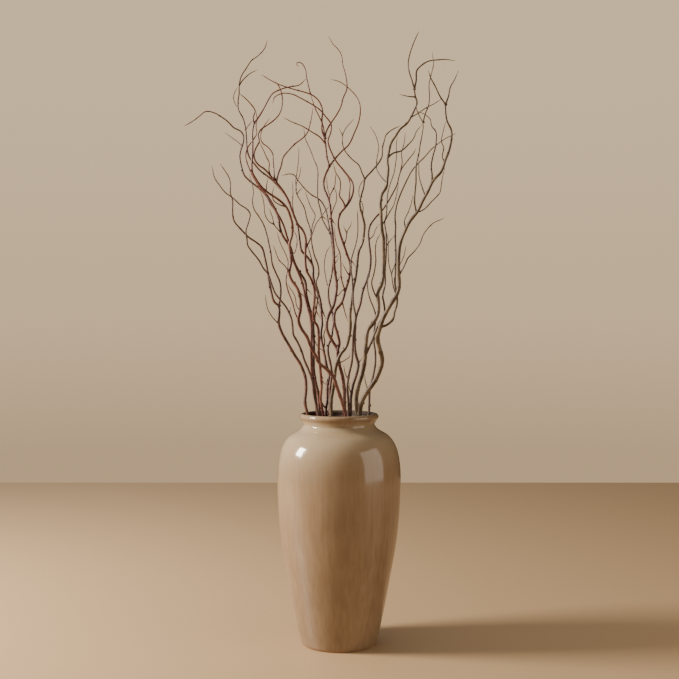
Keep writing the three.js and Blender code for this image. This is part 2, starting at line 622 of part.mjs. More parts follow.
// Depth of a placed route beside a drawn point, so that a twig springs from inside its parent.
function depthBeside(parent, point) {
  const at = new THREE.Vector3(point[0], point[1], 0);
  let best = { distance: Infinity, depth: 0 };
  for (let i = 1; i < parent.route.length; i += 1) {
    const start = new THREE.Vector3(...parent.route[i - 1], 0);
    const end = new THREE.Vector3(...parent.route[i], 0);
    const line = new THREE.Line3(start, end);
    const along = line.closestPointToPointParameter(at, true);
    const distance = line.at(along, new THREE.Vector3()).distanceTo(at);
    const depth = THREE.MathUtils.lerp(parent.depths[i - 1], parent.depths[i], along);
    if (distance < best.distance) best = { distance, depth };
  }
  return best.depth;
}

// A twig leaves its parent's depth along `lean`, with a light curl of its own.
function placeTwig(twig, parent) {
  const root = depthBeside(parent, twig.route[0]);
  const depths = [];
  let along = 0;
  twig.route.forEach(([across, up], i) => {
    if (i > 0) along += Math.hypot(across - twig.route[i - 1][0], up - twig.route[i - 1][1]);
    const curl = Math.sin(along / 24) * Math.min(4, along / 12);
    depths.push(root + twig.lean * along * Math.exp(-along / 420) + curl);
  });
  const points = twig.route.map((point, i) => alongSight(point, depths[i]));
  return { route: twig.route, depths, points };
}

// ---- solids -------------------------------------------------------------------------------------

// Keeps only the positions, joins equal points and drops triangles that have no area.
function closed(geometry) {
  geometry.deleteAttribute('normal');
  geometry.deleteAttribute('uv');
  const merged = mergeVertices(geometry, MERGE_DISTANCE);
  const corners = Array.from(merged.index.array);
  const kept = [];
  for (let i = 0; i < corners.length; i += 3) {
    const [a, b, c] = corners.slice(i, i + 3);
    if (a !== b && b !== c && c !== a) kept.push(a, b, c);
  }
  merged.setIndex(kept);
  return merged;
}

// A round, tapering rod through the points: one ring of vertices at each point, and two flat ends.
// The ring's frame is carried along from ring to ring without twisting.
function taperedRod(points, startRadius, endRadius, sides) {
  const last = points.length - 1;
  const positions = [];
  const corners = [];
  const spoke = new THREE.Vector3(0, 1, 0);
  points.forEach((point, i) => {
    const ahead = points[Math.min(i + 1, last)].clone().sub(point).normalize();
    const behind = point.clone().sub(points[Math.max(i - 1, 0)]).normalize();
    const direction = ahead.add(behind).normalize();
    spoke.projectOnPlane(direction).normalize();
    const radius = THREE.MathUtils.lerp(startRadius, endRadius, (i / last) ** TAPER);
    for (let k = 0; k < sides; k += 1) {
      const arm = spoke.clone().applyAxisAngle(direction, (2 * Math.PI * k) / sides);
      const corner = point.clone().addScaledVector(arm, radius);
      positions.push(corner.x, corner.y, corner.z);
    }
  });
  for (let i = 0; i < last; i += 1) {
    for (let k = 0; k < sides; k += 1) {
      const here = i * sides;
      const next = (k + 1) % sides;
      corners.push(here + k, here + next, here + sides + k);
      corners.push(here + next, here + sides + next, here + sides + k);
    }
  }
  for (let k = 1; k < sides - 1; k += 1) {
    corners.push(0, k + 1, k);
    corners.push(last * sides, last * sides + k, last * sides + k + 1);
  }
  const geometry = new THREE.BufferGeometry();
  geometry.setAttribute('position', new THREE.Float32BufferAttribute(positions, 3));
  geometry.setIndex(corners);
  return geometry;
}

function solidOf(geometry) {
  return new wasm.Manifold(new wasm.Mesh({
    numProp: 3,
    vertProperties: new Float32Array(geometry.attributes.position.array),
    triVerts: new Uint32Array(geometry.index.array),
  }));
}

function geometryOf(solid) {
  const mesh = solid.getMesh();
  const geometry = new THREE.BufferGeometry();
  geometry.setAttribute('position', new THREE.Float32BufferAttribute(mesh.vertProperties, 3));
  geometry.setIndex(Array.from(mesh.triVerts));
  return closed(geometry);
}

// Joins a parent's twigs to the solid, and their own twigs after them.
function joinTwigs(solid, twigs, parent) {
  let joined = solid;
  for (const twig of twigs) {
    const placed = placeTwig(twig, parent);
    joined = joined.add(solidOf(taperedRod(placed.points, twig.thick, TWIG_TIP, TWIG_SIDES)));
    joined = joinTwigs(joined, twig.twigs ?? [], placed);
  }
  return joined;
}

function stemGeometry(stem) {
  const placed = placeStem(stem);
  const main = solidOf(taperedRod(placed.points, stem.thick, STEM_TIP, STEM_SIDES));
  return geometryOf(joinTwigs(main, stem.twigs, placed));
}

// ---- assembly -----------------------------------------------------------------------------------

function part(name, geometry, colour, roughness) {
  const material = new THREE.MeshStandardMaterial({ color: colour, roughness, metalness: 0 });
  const mesh = new THREE.Mesh(geometry, material);
  mesh.name = name;
  return mesh;
}

const group = new THREE.Group();
group.add(part('vase', vaseGeometry(), 0xb79c74, 0.22));
for (const stem of STEMS) {
  group.add(part(stem.name, stemGeometry(stem), BARK_COLOURS[stem.bark], 0.75));
}

export default group;
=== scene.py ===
"""Curly willow stems standing in a tall glazed floor vase.

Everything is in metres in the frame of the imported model: +Z up, -Y towards the front, the origin in
the middle of the vase's flat underside. The driving shapes are in millimetres, as on the solids.
"""

import math

import bpy
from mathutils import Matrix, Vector


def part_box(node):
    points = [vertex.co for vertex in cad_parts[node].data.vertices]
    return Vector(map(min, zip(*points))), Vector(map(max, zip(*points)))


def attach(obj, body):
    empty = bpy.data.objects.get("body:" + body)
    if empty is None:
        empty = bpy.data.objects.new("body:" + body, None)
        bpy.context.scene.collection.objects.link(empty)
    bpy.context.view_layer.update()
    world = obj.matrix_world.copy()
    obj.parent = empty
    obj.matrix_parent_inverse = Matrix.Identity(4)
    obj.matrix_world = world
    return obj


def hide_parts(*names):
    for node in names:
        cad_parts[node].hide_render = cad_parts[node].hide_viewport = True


MM = 0.001

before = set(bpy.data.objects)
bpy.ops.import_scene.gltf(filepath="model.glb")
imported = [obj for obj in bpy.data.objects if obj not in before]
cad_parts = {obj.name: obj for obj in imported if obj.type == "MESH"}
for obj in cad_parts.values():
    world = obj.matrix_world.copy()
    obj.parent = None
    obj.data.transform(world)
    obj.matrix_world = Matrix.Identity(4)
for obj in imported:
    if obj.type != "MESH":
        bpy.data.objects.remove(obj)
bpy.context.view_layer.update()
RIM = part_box("vase")[1].z / MM

# ---- driving shapes -----------------------------------------------------------------------------

# The vase's wall, from the middle of the underside round the outside, over the rolled lip and down
# the inside to the middle of the floor: [radius, height] in millimetres.
FOOT = [[0, 0], [79, 0], [82.5, 1.6]]
OUTSIDE = [
    [84, 6], [94, 50], [109, 128], [127, 233], [133.5, 320], [133, 390], [124, 429], [109, 451],
    [84, 467], [76.5, 477],
]
LIP = {"radius": 6.2, "centre": 80, "from": -54, "to": 207}
INSIDE = [
    [69.5, 486], [68, 477], [73, 466], [95, 449], [111, 433], [121.5, 405], [125, 355], [124, 300],
    [117, 230], [99, 128], [85, 50], [76, 20],
]
FLOOR = [[70, 10], [0, 10]]

WALL_STEP = {"outside": 6, "inside": 8}  # mm between the rings of the wall
LIP_STEPS = 18
VASE_SIDES = 160

EYE = {"y": -2310, "z": 708}  # where a viewer stands; the crown is laid out as seen from here
CROWN_HEIGHT = 800
CROWN_FAN = 3  # up the crown's height a layer's depth grows by this many times itself
# A stem's curl in depth: its reach low and high in the crown, and its wavelength.
SWAY = {"low": 2, "high": 13, "wave": 290}
SWAY_START = 8  # the curl has its full reach at an eighth of the crown's height
# A twig's curl in depth: mm to the radian, its greatest reach, and mm of twig for each mm of reach.
TWIG_CURL = {"wave": 24, "reach": 4, "growth": 12}
TWIG_REACH = 420  # mm along a twig over which its lean dies away
TAPER = 1.25  # above 1 a rod stays thick for longer before it thins out
STEM_TIP = 1.0
TWIG_TIP = 0.8
CUT_END = 10.4

# The finely modelled rods, in millimetres.
RING_STEP = 4.0
TWIG_FLARE = 0.55  # how much wider a twig is at its root
FLARE_LENGTH = 4.5  # over which the root widens into its parent
TIP_LENGTH = 7.0
TIP_WIDTH = 0.4  # the point's share of the width that the rod would have there

# The section and the growth of a rod, in metres where a length is meant.
ROD_SIDES = 12
NODE_SPACING = 0.03
NODE_SWELLING = 0.13
NODE_WIDTH = 0.005
WRINKLE_DEPTH = 0.22  # as a share of the girth
WRINKLE_SCALE = 420.0  # to the metre: wrinkles about 2.4 mm across
WRINKLE_STRETCH = (1.0, 1.0, 0.33)  # three times as long along the rod

# A willow bud, in millimetres: rings of [up, radius, lean out], then the tip that leans in.
BUD_RINGS = [[0.0, 0.75, 0.0], [0.9, 1.05, 0.25], [2.3, 0.95, 0.3], [3.8, 0.5, 0.1]]
BUD_TIP = {"up": 5.0, "lean": -0.2}
BUD_SIDES = 6
BUD_FLATNESS = 0.8
BUD_TURN = math.radians(144)  # from each bud to the next: two turns to five buds
BUD_SIZES = {"thin": 0.0006, "thick": 0.003, "least": 0.62}  # smaller on twigs thinner than "thick"
BUD_SCATTER = {"Min": 0.85, "Max": 1.3}
BUD_SEAT = 0.86  # the bud's root lies at this share of the girth

# Each stem's route is drawn on the upright plane through the vase's axis as [across, up], and is
# carried along the line of sight to its depth. "thick" is the radius at the cut end, "foot" is where
# it stands on the vase's floor, and "lean" is how far a twig comes forward (-) or goes back (+) per
# millimetre of its length. A twig starts on its parent.
STEMS = [
    {"name": "stem_far_left", "bark": "brown", "thick": 3.5,
     "foot": [-40, 4], "depth": 0, "phase": 0.4, "route": [
        [-62, 472], [-69, 500], [-74, 523], [-72, 550], [-73, 577], [-83, 605], [-96, 626], [-111, 652],
        [-124, 675], [-131, 696], [-130, 716], [-131, 733], [-141, 743], [-147, 763], [-152, 787],
        [-156, 814], [-161, 838], [-167, 860], [-180, 872], [-195, 882], [-212, 899], [-228, 919],
        [-231, 938], [-231, 962], [-236, 980], [-235.5, 998], [-239, 1013], [-251, 1032], [-256, 1040],
    ], "twigs": [
        {"thick": 2.1, "lean": 0.12, "route": [
            [-131, 733], [-127, 755], [-128, 784], [-137, 805], [-145, 825], [-148, 847], [-153, 872],
            [-158, 893], [-164, 911], [-174, 928], [-184, 943], [-188, 962], [-185.5, 980], [-188, 997],
            [-194, 1018],
        ]},
        {"thick": 1.2, "lean": -0.3, "route": [[-130.5, 694], [-146, 711], [-156, 730], [-160, 755]]},
    ]},
    {"name": "stem_thin_left", "bark": "grey", "thick": 2.5,
     "foot": [-28, -24], "depth": -33, "phase": 1.1, "route": [
        [-40, 472], [-46, 500], [-54, 537], [-58, 568], [-66, 594], [-75, 615], [-81, 634], [-90, 655],
        [-99, 671], [-101, 690], [-104, 708], [-115, 731], [-127, 746], [-139, 762], [-147, 783],
        [-154, 803], [-164, 815], [-174, 833], [-190, 853], [-198, 865], [-200, 880], [-202, 897],
        [-196, 917], [-193, 934], [-200, 944], [-214, 953], [-229, 967], [-247, 980], [-258, 994],
        [-270, 1012], [-275, 1034],
    ], "twigs": [
        {"thick": 1.0, "lean": 0.2, "route": [[-103, 705], [-107, 716], [-105, 730]]},
    ]},
    {"name": "stem_sweeping_left", "bark": "brown", "thick": 3.5,
     "foot": [-26, 14], "depth": 18, "phase": 2.0, "route": [
        [-38, 472], [-42.5, 500], [-45, 540], [-52, 573], [-55.5, 600], [-55, 640], [-56, 680],
        [-58, 705], [-65, 732], [-71, 757], [-74, 788], [-86, 807], [-96, 826], [-101, 842], [-104, 858],
        [-112, 871], [-122, 886], [-128, 903], [-131, 922], [-138, 941], [-148, 955], [-156, 970],
        [-167, 983], [-180, 994], [-194, 1005], [-206, 1018], [-212, 1037], [-215.5, 1057], [-213, 1071],
        [-208, 1087], [-207, 1102], [-213, 1112], [-228, 1120], [-242, 1134], [-256, 1144], [-268, 1151],
        [-282, 1155], [-291, 1154], [-301, 1146], [-314, 1136], [-333, 1124.5],
    ], "twigs": [
        {"thick": 1.1, "lean": -0.3, "route": [[-71.5, 772], [-67, 768], [-63, 763], [-60, 760]]},
        {"thick": 1.2, "lean": 0.35, "route": [[-210.5, 1079], [-217, 1087], [-229, 1096], [-245, 1108]]},
        {"thick": 1.3, "lean": -0.25, "route": [
            [-123, 889], [-132, 899], [-141, 911], [-145, 928], [-151, 943],
        ], "twigs": [
            {"thick": 1.1, "lean": -0.3, "route": [
                [-140, 910], [-152, 917], [-161, 934], [-162.5, 952], [-165, 967], [-170, 980],
            ]},
        ]},
        {"thick": 1.1, "lean": -0.2, "route": [[-55.5, 668], [-49, 650], [-40, 640], [-33, 636]]},
    ]},
    {"name": "stem_inner_left", "bark": "red", "thick": 3.1,
     "foot": [-32, 6], "depth": 8, "phase": 1.7, "route": [
        [-43, 472], [-48, 500], [-51, 535], [-55, 565], [-59, 590], [-60, 625], [-60, 655], [-60, 685],
        [-63, 712], [-68, 732], [-74, 756], [-79, 781], [-87, 803], [-95, 822], [-102, 838], [-107, 855],
        [-109, 872], [-114, 888], [-119, 905], [-127, 923], [-136, 939], [-144, 955], [-154, 971],
        [-165, 984], [-175, 995], [-183, 1008], [-191, 1023], [-199, 1043], [-202.5, 1060], [-198, 1077],
        [-188, 1091], [-178.5, 1107], [-180, 1123], [-177.5, 1138], [-180, 1155],
    ], "twigs": [
        {"thick": 1.1, "lean": 0.3, "route": [
            [-107, 856], [-98, 848], [-92, 866], [-92, 884], [-98, 897],
        ]},
    ]},
    {"name": "stem_front_left", "bark": "red", "thick": 2.9,
     "foot": [-24, -34], "depth": -44, "phase": 0.2, "route": [
        [-31, 472], [-35, 500], [-40, 529], [-38, 560], [-41, 600], [-44, 630], [-44, 665], [-46, 688],
        [-54, 702], [-56, 720], [-53, 748], [-54, 773], [-61, 793], [-70, 810], [-73, 837], [-72.5, 860],
        [-72, 880], [-78, 897], [-89, 911], [-96, 926], [-103, 945], [-110, 964], [-121, 983],
        [-134, 1000], [-146, 1013], [-160, 1029], [-175, 1040], [-183, 1052], [-184, 1065], [-179, 1078],
        [-173, 1090], [-175, 1104], [-169, 1116], [-156, 1125], [-141, 1136], [-130, 1148], [-124, 1164],
        [-122.5, 1182], [-126, 1200], [-131, 1211], [-137, 1218],
    ], "twigs": [
        {"thick": 1.2, "lean": -0.3, "route": [[-39, 580], [-36, 571], [-33, 566], [-30, 564]]},
        {"thick": 1.7, "lean": -0.3, "route": [[-54, 742], [-51, 729], [-47, 718], [-42, 710]]},
        {"thick": 1.6, "lean": -0.2, "route": [
            [-54, 702], [-50, 722], [-47, 742], [-46, 760], [-50, 775],
        ]},
        {"thick": 1.2, "lean": 0.25, "route": [[-99, 936], [-101, 955], [-100, 978], [-101, 1001]]},
        {"thick": 1.4, "lean": -0.2, "route": [
            [-72.5, 858], [-64, 875], [-57, 893], [-50, 912], [-38, 928], [-29, 941], [-21, 949],
        ], "twigs": [
            {"thick": 1.0, "lean": -0.3, "route": [[-38, 928], [-33, 926], [-27, 921]]},
        ]},
        {"thick": 1.4, "lean": 0.15, "route": [
            [-140, 1007], [-141, 1026], [-143, 1050], [-144, 1064], [-153, 1077], [-166, 1087],
            [-170, 1100], [-165, 1119], [-152, 1138],
        ]},
        {"thick": 1.8, "lean": -0.22, "route": [
            [-136, 1002], [-132, 1019], [-125, 1039], [-121, 1056], [-109, 1071], [-94, 1086],
            [-78, 1098], [-68, 1110], [-63, 1126], [-59, 1145], [-57, 1160],
        ]},
        {"thick": 1.2, "lean": -0.15, "route": [
            [-149, 1017], [-152, 1030], [-151, 1043], [-158, 1058], [-165, 1074], [-171, 1086],
        ]},
    ]},
    {"name": "stem_crossing", "bark": "red", "thick": 3.7,
     "foot": [22, -38], "depth": -52, "phase": 0, "route": [
        [16, 472], [12.6, 505], [5.5, 528], [-4, 556], [-13, 581], [-28, 597], [-42, 609], [-51, 626],
        [-61, 645], [-70, 667], [-82, 685], [-88, 703], [-84, 724], [-83, 747], [-91, 773], [-103, 790],
        [-108, 807], [-104, 828], [-105, 849], [-107, 869], [-102, 887], [-101, 909], [-106, 930],
        [-114, 948], [-132, 965], [-152, 978], [-168, 992], [-180, 1009], [-188, 1024], [-189, 1041],
        [-187.5, 1062], [-187, 1085], [-187.5, 1108], [-184, 1128], [-173, 1144], [-163, 1161],
        [-153, 1180], [-143, 1194], [-125, 1203], [-107, 1208], [-86, 1212], [-74, 1223],
    ], "twigs": [
        {"thick": 1.6, "lean": -0.15, "route": [[-43, 610], [-41, 598], [-38, 586], [-36, 578]]},
        {"thick": 1.4, "lean": -0.4, "route": [[-90, 772], [-84, 762], [-79, 757], [-75, 753]]},
        {"thick": 1.5, "lean": 0.1, "route": [
            [-88, 703], [-95, 718], [-101, 741], [-111, 768], [-115, 790], [-112, 812], [-111, 832],
            [-117, 848], [-127, 869], [-134, 892],
        ]},
        {"thick": 1.0, "lean": -0.3, "route": [[-84, 722], [-92, 734], [-96, 755], [-110, 778]]},
        {"thick": 1.1, "lean": -0.35, "route": [
            [-107, 804], [-117, 820], [-130, 833], [-137, 850], [-141, 862],
        ]},
        {"thick": 1.5, "lean": -0.15, "route": [
            [-184, 1128], [-186, 1141], [-182, 1157], [-192, 1172], [-207, 1187], [-215, 1193],
        ]},
        {"thick": 1.0, "lean": -0.4, "route": [[-158, 983], [-157, 995], [-154.5, 1009]]},
        {"thick": 1.3, "lean": -0.2, "route": [
            [-115, 949], [-128, 953], [-142, 963], [-144.5, 978], [-141, 992],
        ]},
    ]},
    {"name": "stem_tall_left", "bark": "brown", "thick": 3.4,
     "foot": [-16, 34], "depth": 42, "phase": 2.9, "route": [
        [-24, 472], [-29, 500], [-26, 530], [-25, 560], [-21, 583], [-27, 603], [-31, 624], [-36, 648],
        [-39.5, 672], [-37, 697], [-39, 722], [-41, 746], [-50, 775], [-56, 797], [-57, 820], [-69, 840],
        [-81, 853], [-85, 872], [-88, 895], [-92, 916], [-101, 938], [-109, 957], [-117, 975],
        [-130, 991], [-142, 1004], [-155, 1015], [-171, 1027], [-184, 1042], [-195, 1057], [-199.5, 1075],
        [-201, 1098], [-203, 1120], [-208, 1140], [-218, 1159], [-219, 1175], [-216.5, 1194],
        [-216, 1213], [-211, 1232], [-200, 1249], [-190, 1264], [-174, 1276], [-161, 1291], [-156, 1305],
    ], "twigs": [
        {"thick": 1.4, "lean": -0.3, "route": [[-28.5, 508], [-33, 516], [-37, 524], [-41, 529]]},
        {"thick": 1.3, "lean": -0.3, "route": [[-21, 583], [-24, 577], [-27, 569], [-29, 565]]},
        {"thick": 1.5, "lean": 0.25, "route": [
            [-34.5, 638], [-31, 655], [-33, 670], [-29, 684], [-24, 692],
        ]},
        {"thick": 2.4, "lean": 0.3, "route": [[-40, 738], [-37, 726], [-33, 716], [-29, 706]]},
        {"thick": 1.6, "lean": 0.25, "route": [
            [-39, 722], [-44, 738], [-50, 755], [-55, 772], [-58, 784],
        ]},
        {"thick": 1.7, "lean": 0.3, "route": [
            [-57, 820], [-60, 835], [-64, 850], [-69, 866], [-73, 880],
        ]},
        {"thick": 1.9, "lean": -0.05, "route": [
            [-41, 745], [-45, 766], [-50, 784], [-44, 804], [-46, 824], [-53, 842], [-59, 868],
            [-62, 898], [-70, 924], [-76, 948], [-85, 964], [-93, 981], [-92, 1001], [-86, 1015],
            [-83, 1034],
        ], "twigs": [
            {"thick": 1.2, "lean": 0.3, "route": [
                [-61, 886], [-58, 908], [-52, 930], [-61, 948], [-68, 966], [-73, 980],
            ]},
            {"thick": 1.0, "lean": -0.4, "route": [[-91, 977], [-86, 984], [-80, 989]]},
            {"thick": 1.1, "lean": 0.3, "route": [
                [-93, 985], [-94, 1003], [-91, 1025], [-88, 1050], [-87, 1075],
            ]},
        ]},
        {"thick": 1.2, "lean": 0.3, "route": [[-218, 1160], [-227, 1176], [-228, 1190], [-221, 1205]]},
        {"thick": 1.4, "lean": 0.35, "route": [[-216, 1212], [-206, 1225], [-192, 1237], [-178, 1244]]},
        {"thick": 1.1, "lean": -0.4, "route": [[-203, 1115], [-195, 1126], [-188, 1135]]},
    ]},
    {"name": "stem_left_of_centre", "bark": "brown", "thick": 3.0,
     "foot": [-12, 26], "depth": 33, "phase": 2.6, "route": [
        [-18, 472], [-21, 500], [-20, 530], [-19, 560], [-16, 585], [-18, 605], [-23, 628], [-24, 645],
        [-17, 663], [-14, 684], [-12, 702], [-16, 724], [-22, 746], [-23, 770], [-17, 797], [-14, 818],
        [-13, 842], [-15, 866], [-18, 888], [-22, 908], [-25, 926], [-30, 946], [-42, 964], [-60, 975],
        [-76, 990], [-89, 1006], [-98, 1018], [-110, 1020], [-121, 1017],
    ], "twigs": [
        {"thick": 1.2, "lean": 0.35, "route": [
            [-22.5, 772], [-27, 786], [-30, 802], [-32, 820], [-30, 840], [-26, 853], [-20, 862],
        ]},
        {"thick": 1.6, "lean": 0.25, "route": [
            [-18, 890], [-27, 904], [-36, 922], [-41, 945], [-46, 966], [-46.5, 995], [-46.5, 1031],
            [-54, 1050], [-63, 1074], [-73, 1096], [-76, 1117],
        ]},
    ]},
    {"name": "stem_tall_centre", "bark": "red", "thick": 3.8,
     "foot": [8, 18], "depth": 24, "phase": 2.3, "route": [
        [10, 472], [12.6, 500], [12, 528], [12, 550], [8, 580], [0, 610], [-3, 638], [-14, 657],
        [-24, 676], [-27, 693], [-22, 714], [-12, 734], [-7, 757], [-5, 780], [-8, 803], [-11, 830],
        [-11, 850], [-13, 874], [-15, 900], [-18, 925], [-19, 948], [-25, 971], [-32, 988], [-33.5, 1002],
        [-29, 1019], [-22, 1036], [-26, 1055], [-28.5, 1076], [-31, 1096], [-37, 1115], [-37, 1137],
        [-36, 1159], [-44, 1178], [-56, 1189], [-73, 1196], [-92, 1201], [-112, 1207], [-132, 1214],
        [-146, 1221], [-166, 1233],
    ], "twigs": [
        {"thick": 1.2, "lean": -0.4, "route": [[0, 610], [8, 613], [16, 618], [22, 622], [24, 629]]},
        {"thick": 1.4, "lean": -0.5, "route": [[-6.5, 755], [-2, 757], [4, 764], [10, 770], [14, 774]]},
        {"thick": 1.2, "lean": -0.4, "route": [[-10.5, 822], [-6, 830], [-2, 838]]},
        {"thick": 1.0, "lean": 0.3, "route": [[-11, 838], [-6, 841], [-2, 846]]},
        {"thick": 1.1, "lean": 0.4, "route": [[-5, 783], [-2, 790], [2, 797]]},
        {"thick": 1.9, "lean": -0.4, "route": [[-18, 925], [-13, 917], [-8, 911]]},
        {"thick": 1.5, "lean": 0.2, "route": [
            [-62, 1192], [-66, 1209], [-70, 1227], [-73, 1246], [-80, 1258], [-89, 1261], [-92, 1256],
            [-87, 1252],
        ]},
        {"thick": 1.6, "lean": -0.15, "route": [
            [-30, 1086], [-42, 1100], [-58, 1110], [-79, 1123], [-99, 1131], [-119, 1141],
        ]},
        {"thick": 2.0, "lean": 0.3, "route": [
            [-22, 1035], [-10, 1051], [6, 1069], [21, 1083], [33, 1108], [43, 1134], [46, 1163],
            [39, 1185], [22, 1204], [1, 1219], [-16, 1224],
        ]},
        {"thick": 1.8, "lean": 0.1, "route": [
            [-31, 1096], [-27, 1113], [-18, 1129], [-7, 1145], [3, 1163], [9, 1184], [17, 1204],
            [15, 1230], [8, 1256], [5, 1277], [-3, 1290], [-13, 1300], [-21, 1314],
        ]},
        {"thick": 1.5, "lean": -0.25, "route": [
            [-31, 1098], [-34, 1122], [-43, 1144], [-51, 1160], [-56, 1174], [-61, 1190],
        ]},
        {"thick": 1.5, "lean": -0.3, "route": [
            [-20, 952], [-20, 972], [-10, 992], [-8, 1006], [-7, 1021],
        ], "twigs": [
            {"thick": 1.0, "lean": 0.4, "route": [[-20, 970], [-25, 990], [-27, 1010]]},
        ]},
        {"thick": 1.1, "lean": 0.35, "route": [[-18, 925], [-13, 943], [-6, 961], [-6, 979], [-11, 991]]},
    ]},
    {"name": "stem_looping", "bark": "red", "thick": 3.3,
     "foot": [4, 9], "depth": 14, "phase": 1.9, "route": [
        [9, 472], [12, 500], [11.5, 528], [11, 550], [7, 580], [-1, 612], [-3, 634], [1, 653], [-4, 676],
        [-10, 699], [-8, 722], [6, 741], [13, 764], [22, 795], [24.5, 824], [17, 847], [10, 868],
        [2, 892], [-2, 914], [3, 934], [15, 949], [25, 964], [31, 984], [29, 1001], [20, 1015], [7, 1031],
        [-6, 1047], [-17, 1068], [-24, 1091], [-18, 1110], [-17, 1127], [-29, 1144], [-42, 1159],
        [-60, 1171], [-80, 1182], [-101, 1192], [-122, 1194], [-140, 1185], [-143, 1174],
    ], "twigs": [
        {"thick": 1.1, "lean": -0.3, "route": [[24.5, 832], [28, 831], [32, 825], [35, 820]]},
        {"thick": 1.1, "lean": -0.4, "route": [[22.5, 800], [17, 808], [12, 817], [8, 825]]},
        {"thick": 1.4, "lean": -0.3, "route": [[7, 742], [10, 731], [14, 716], [19, 702]]},
        {"thick": 1.3, "lean": -0.2, "route": [[11, 866], [16, 882], [17, 894], [24, 906], [27, 915]]},
        {"thick": 1.0, "lean": 0.3, "route": [[16.5, 893], [13, 900], [10, 906]]},
        {"thick": 1.5, "lean": -0.15, "route": [
            [13, 766], [5, 795], [4, 824], [2, 848], [-5, 866], [-9, 886], [-10, 905],
        ]},
        {"thick": 1.5, "lean": 0.25, "route": [
            [14, 948], [21, 963], [23, 981], [24, 997], [20, 1012], [9, 1026],
        ]},
        {"thick": 1.8, "lean": -0.2, "route": [
            [14, 948], [9, 960], [1, 973], [3, 990], [2, 1007], [-7, 1023], [-12, 1040],
        ]},
    ]},
    {"name": "stem_olive_middle", "bark": "olive", "thick": 4.0,
     "foot": [-8, -14], "depth": -18, "phase": 0.9, "route": [
        [-14, 472], [-17, 500], [-17, 528], [-13, 553], [-10, 580], [-6, 605], [3, 628], [16, 646],
        [22, 668], [25, 690], [24, 713], [27, 742], [31, 773], [37, 802], [40, 832], [43, 852], [51, 871],
        [54, 890], [55.5, 909], [51, 929], [46, 947], [45, 960], [48, 973], [53, 990], [56, 1008],
        [71, 1026], [84, 1041], [93, 1057], [94, 1075], [98, 1091], [102, 1104], [116, 1116], [131, 1123],
    ], "twigs": [
        {"thick": 1.4, "lean": -0.25, "route": [
            [56, 1009], [50, 1022], [43, 1039], [28, 1052], [12, 1072], [7, 1089], [8, 1101], [1, 1117],
        ], "twigs": [
            {"thick": 0.9, "lean": 0.2, "route": [[7, 1103], [15, 1119], [30, 1136]]},
        ]},
        {"thick": 1.2, "lean": 0.3, "route": [
            [51, 931], [52, 950], [45, 967], [43, 985], [48, 1000], [54, 1008],
        ]},
    ]},
    {"name": "stem_thin_centre", "bark": "grey", "thick": 2.7,
     "foot": [12, -22], "depth": -27, "phase": 0.6, "route": [
        [18, 472], [21, 500], [20, 530], [18.5, 558], [22, 585], [28, 612], [30, 640], [31, 670],
        [34, 693], [36, 711], [32, 735], [30, 765], [29, 790], [26, 815], [27, 835], [31, 850], [36, 866],
        [40, 886], [41, 907], [40, 940],
    ], "twigs": [
        {"thick": 1.0, "lean": -0.3, "route": [[20, 574], [13, 588], [11, 602]]},
    ]},
    {"name": "stem_curving_right", "bark": "brown", "thick": 3.5,
     "foot": [14, 26], "depth": 33, "phase": 3.2, "route": [
        [20, 472], [25, 500], [26, 535], [31, 563], [39, 588], [42, 607], [36, 631], [34, 655], [35, 682],
        [37, 709], [46, 737], [52, 767], [61, 791], [67, 813], [69, 838], [67, 858], [65, 876], [64, 892],
        [68, 909], [79, 925], [93, 940], [106, 959], [116, 977], [126, 997], [130, 1014], [136, 1031],
        [148, 1048], [161, 1064], [166, 1073],
    ], "twigs": [
        {"thick": 1.1, "lean": 0.3, "route": [[42, 607], [45, 613], [50, 620]]},
        {"thick": 1.1, "lean": -0.3, "route": [[39, 588], [42, 596], [45, 603]]},
        {"thick": 1.1, "lean": -0.4, "route": [[27, 541], [24, 549], [22, 557], [24, 564]]},
        {"thick": 1.2, "lean": 0.25, "route": [
            [134, 1028], [137, 1046], [135.5, 1065], [141, 1086], [143.5, 1108],
        ]},
        {"thick": 1.1, "lean": -0.3, "route": [[65, 878], [74, 886], [80, 901], [86, 910]]},
    ]},
    {"name": "stem_thick_olive", "bark": "olive", "thick": 4.6,
     "foot": [24, -6], "depth": -10, "phase": 1.3, "route": [
        [34, 472], [39, 500], [38, 535], [42, 558], [52, 591], [57, 622], [59, 655], [63, 681], [75, 697],
        [84, 715], [86, 740], [84.5, 762], [93, 782], [96.5, 808], [97, 837], [97, 862], [97, 880],
        [93.5, 899], [92, 920], [91, 940], [90, 958], [93, 975], [103, 992], [105, 1010], [107, 1030],
        [105, 1048], [108, 1066], [113, 1086], [123, 1102], [133, 1117], [148, 1130], [157, 1145],
        [165, 1162], [169, 1174], [165, 1189], [163, 1204], [158, 1222], [151, 1244], [150, 1262],
        [155, 1284], [163, 1306], [171.6, 1325],
    ], "twigs": [
        {"thick": 2.4, "lean": 0.08, "route": [
            [57, 624], [68, 649], [77, 672], [88, 698], [99, 718], [98, 738], [95, 756], [100, 780],
            [100, 810], [102, 840], [103, 867], [102, 893], [99, 914], [103, 935], [104, 960], [106, 980],
            [112, 1002], [119, 1021], [122.5, 1041], [125, 1065], [124, 1084], [126, 1097],
        ], "twigs": [
            {"thick": 1.1, "lean": 0.4, "route": [[103, 864], [108, 871], [113, 878], [118, 884]]},
        ]},
        {"thick": 1.8, "lean": -0.2, "route": [
            [85.5, 746], [76, 764], [71, 784], [76, 805], [80, 830], [79, 858], [82, 876], [90, 891],
        ]},
        {"thick": 2.0, "lean": 0.15, "route": [
            [163, 1202], [167, 1222], [168, 1242], [177, 1253], [193, 1263], [212, 1266], [233, 1267],
            [248, 1264.5],
        ]},
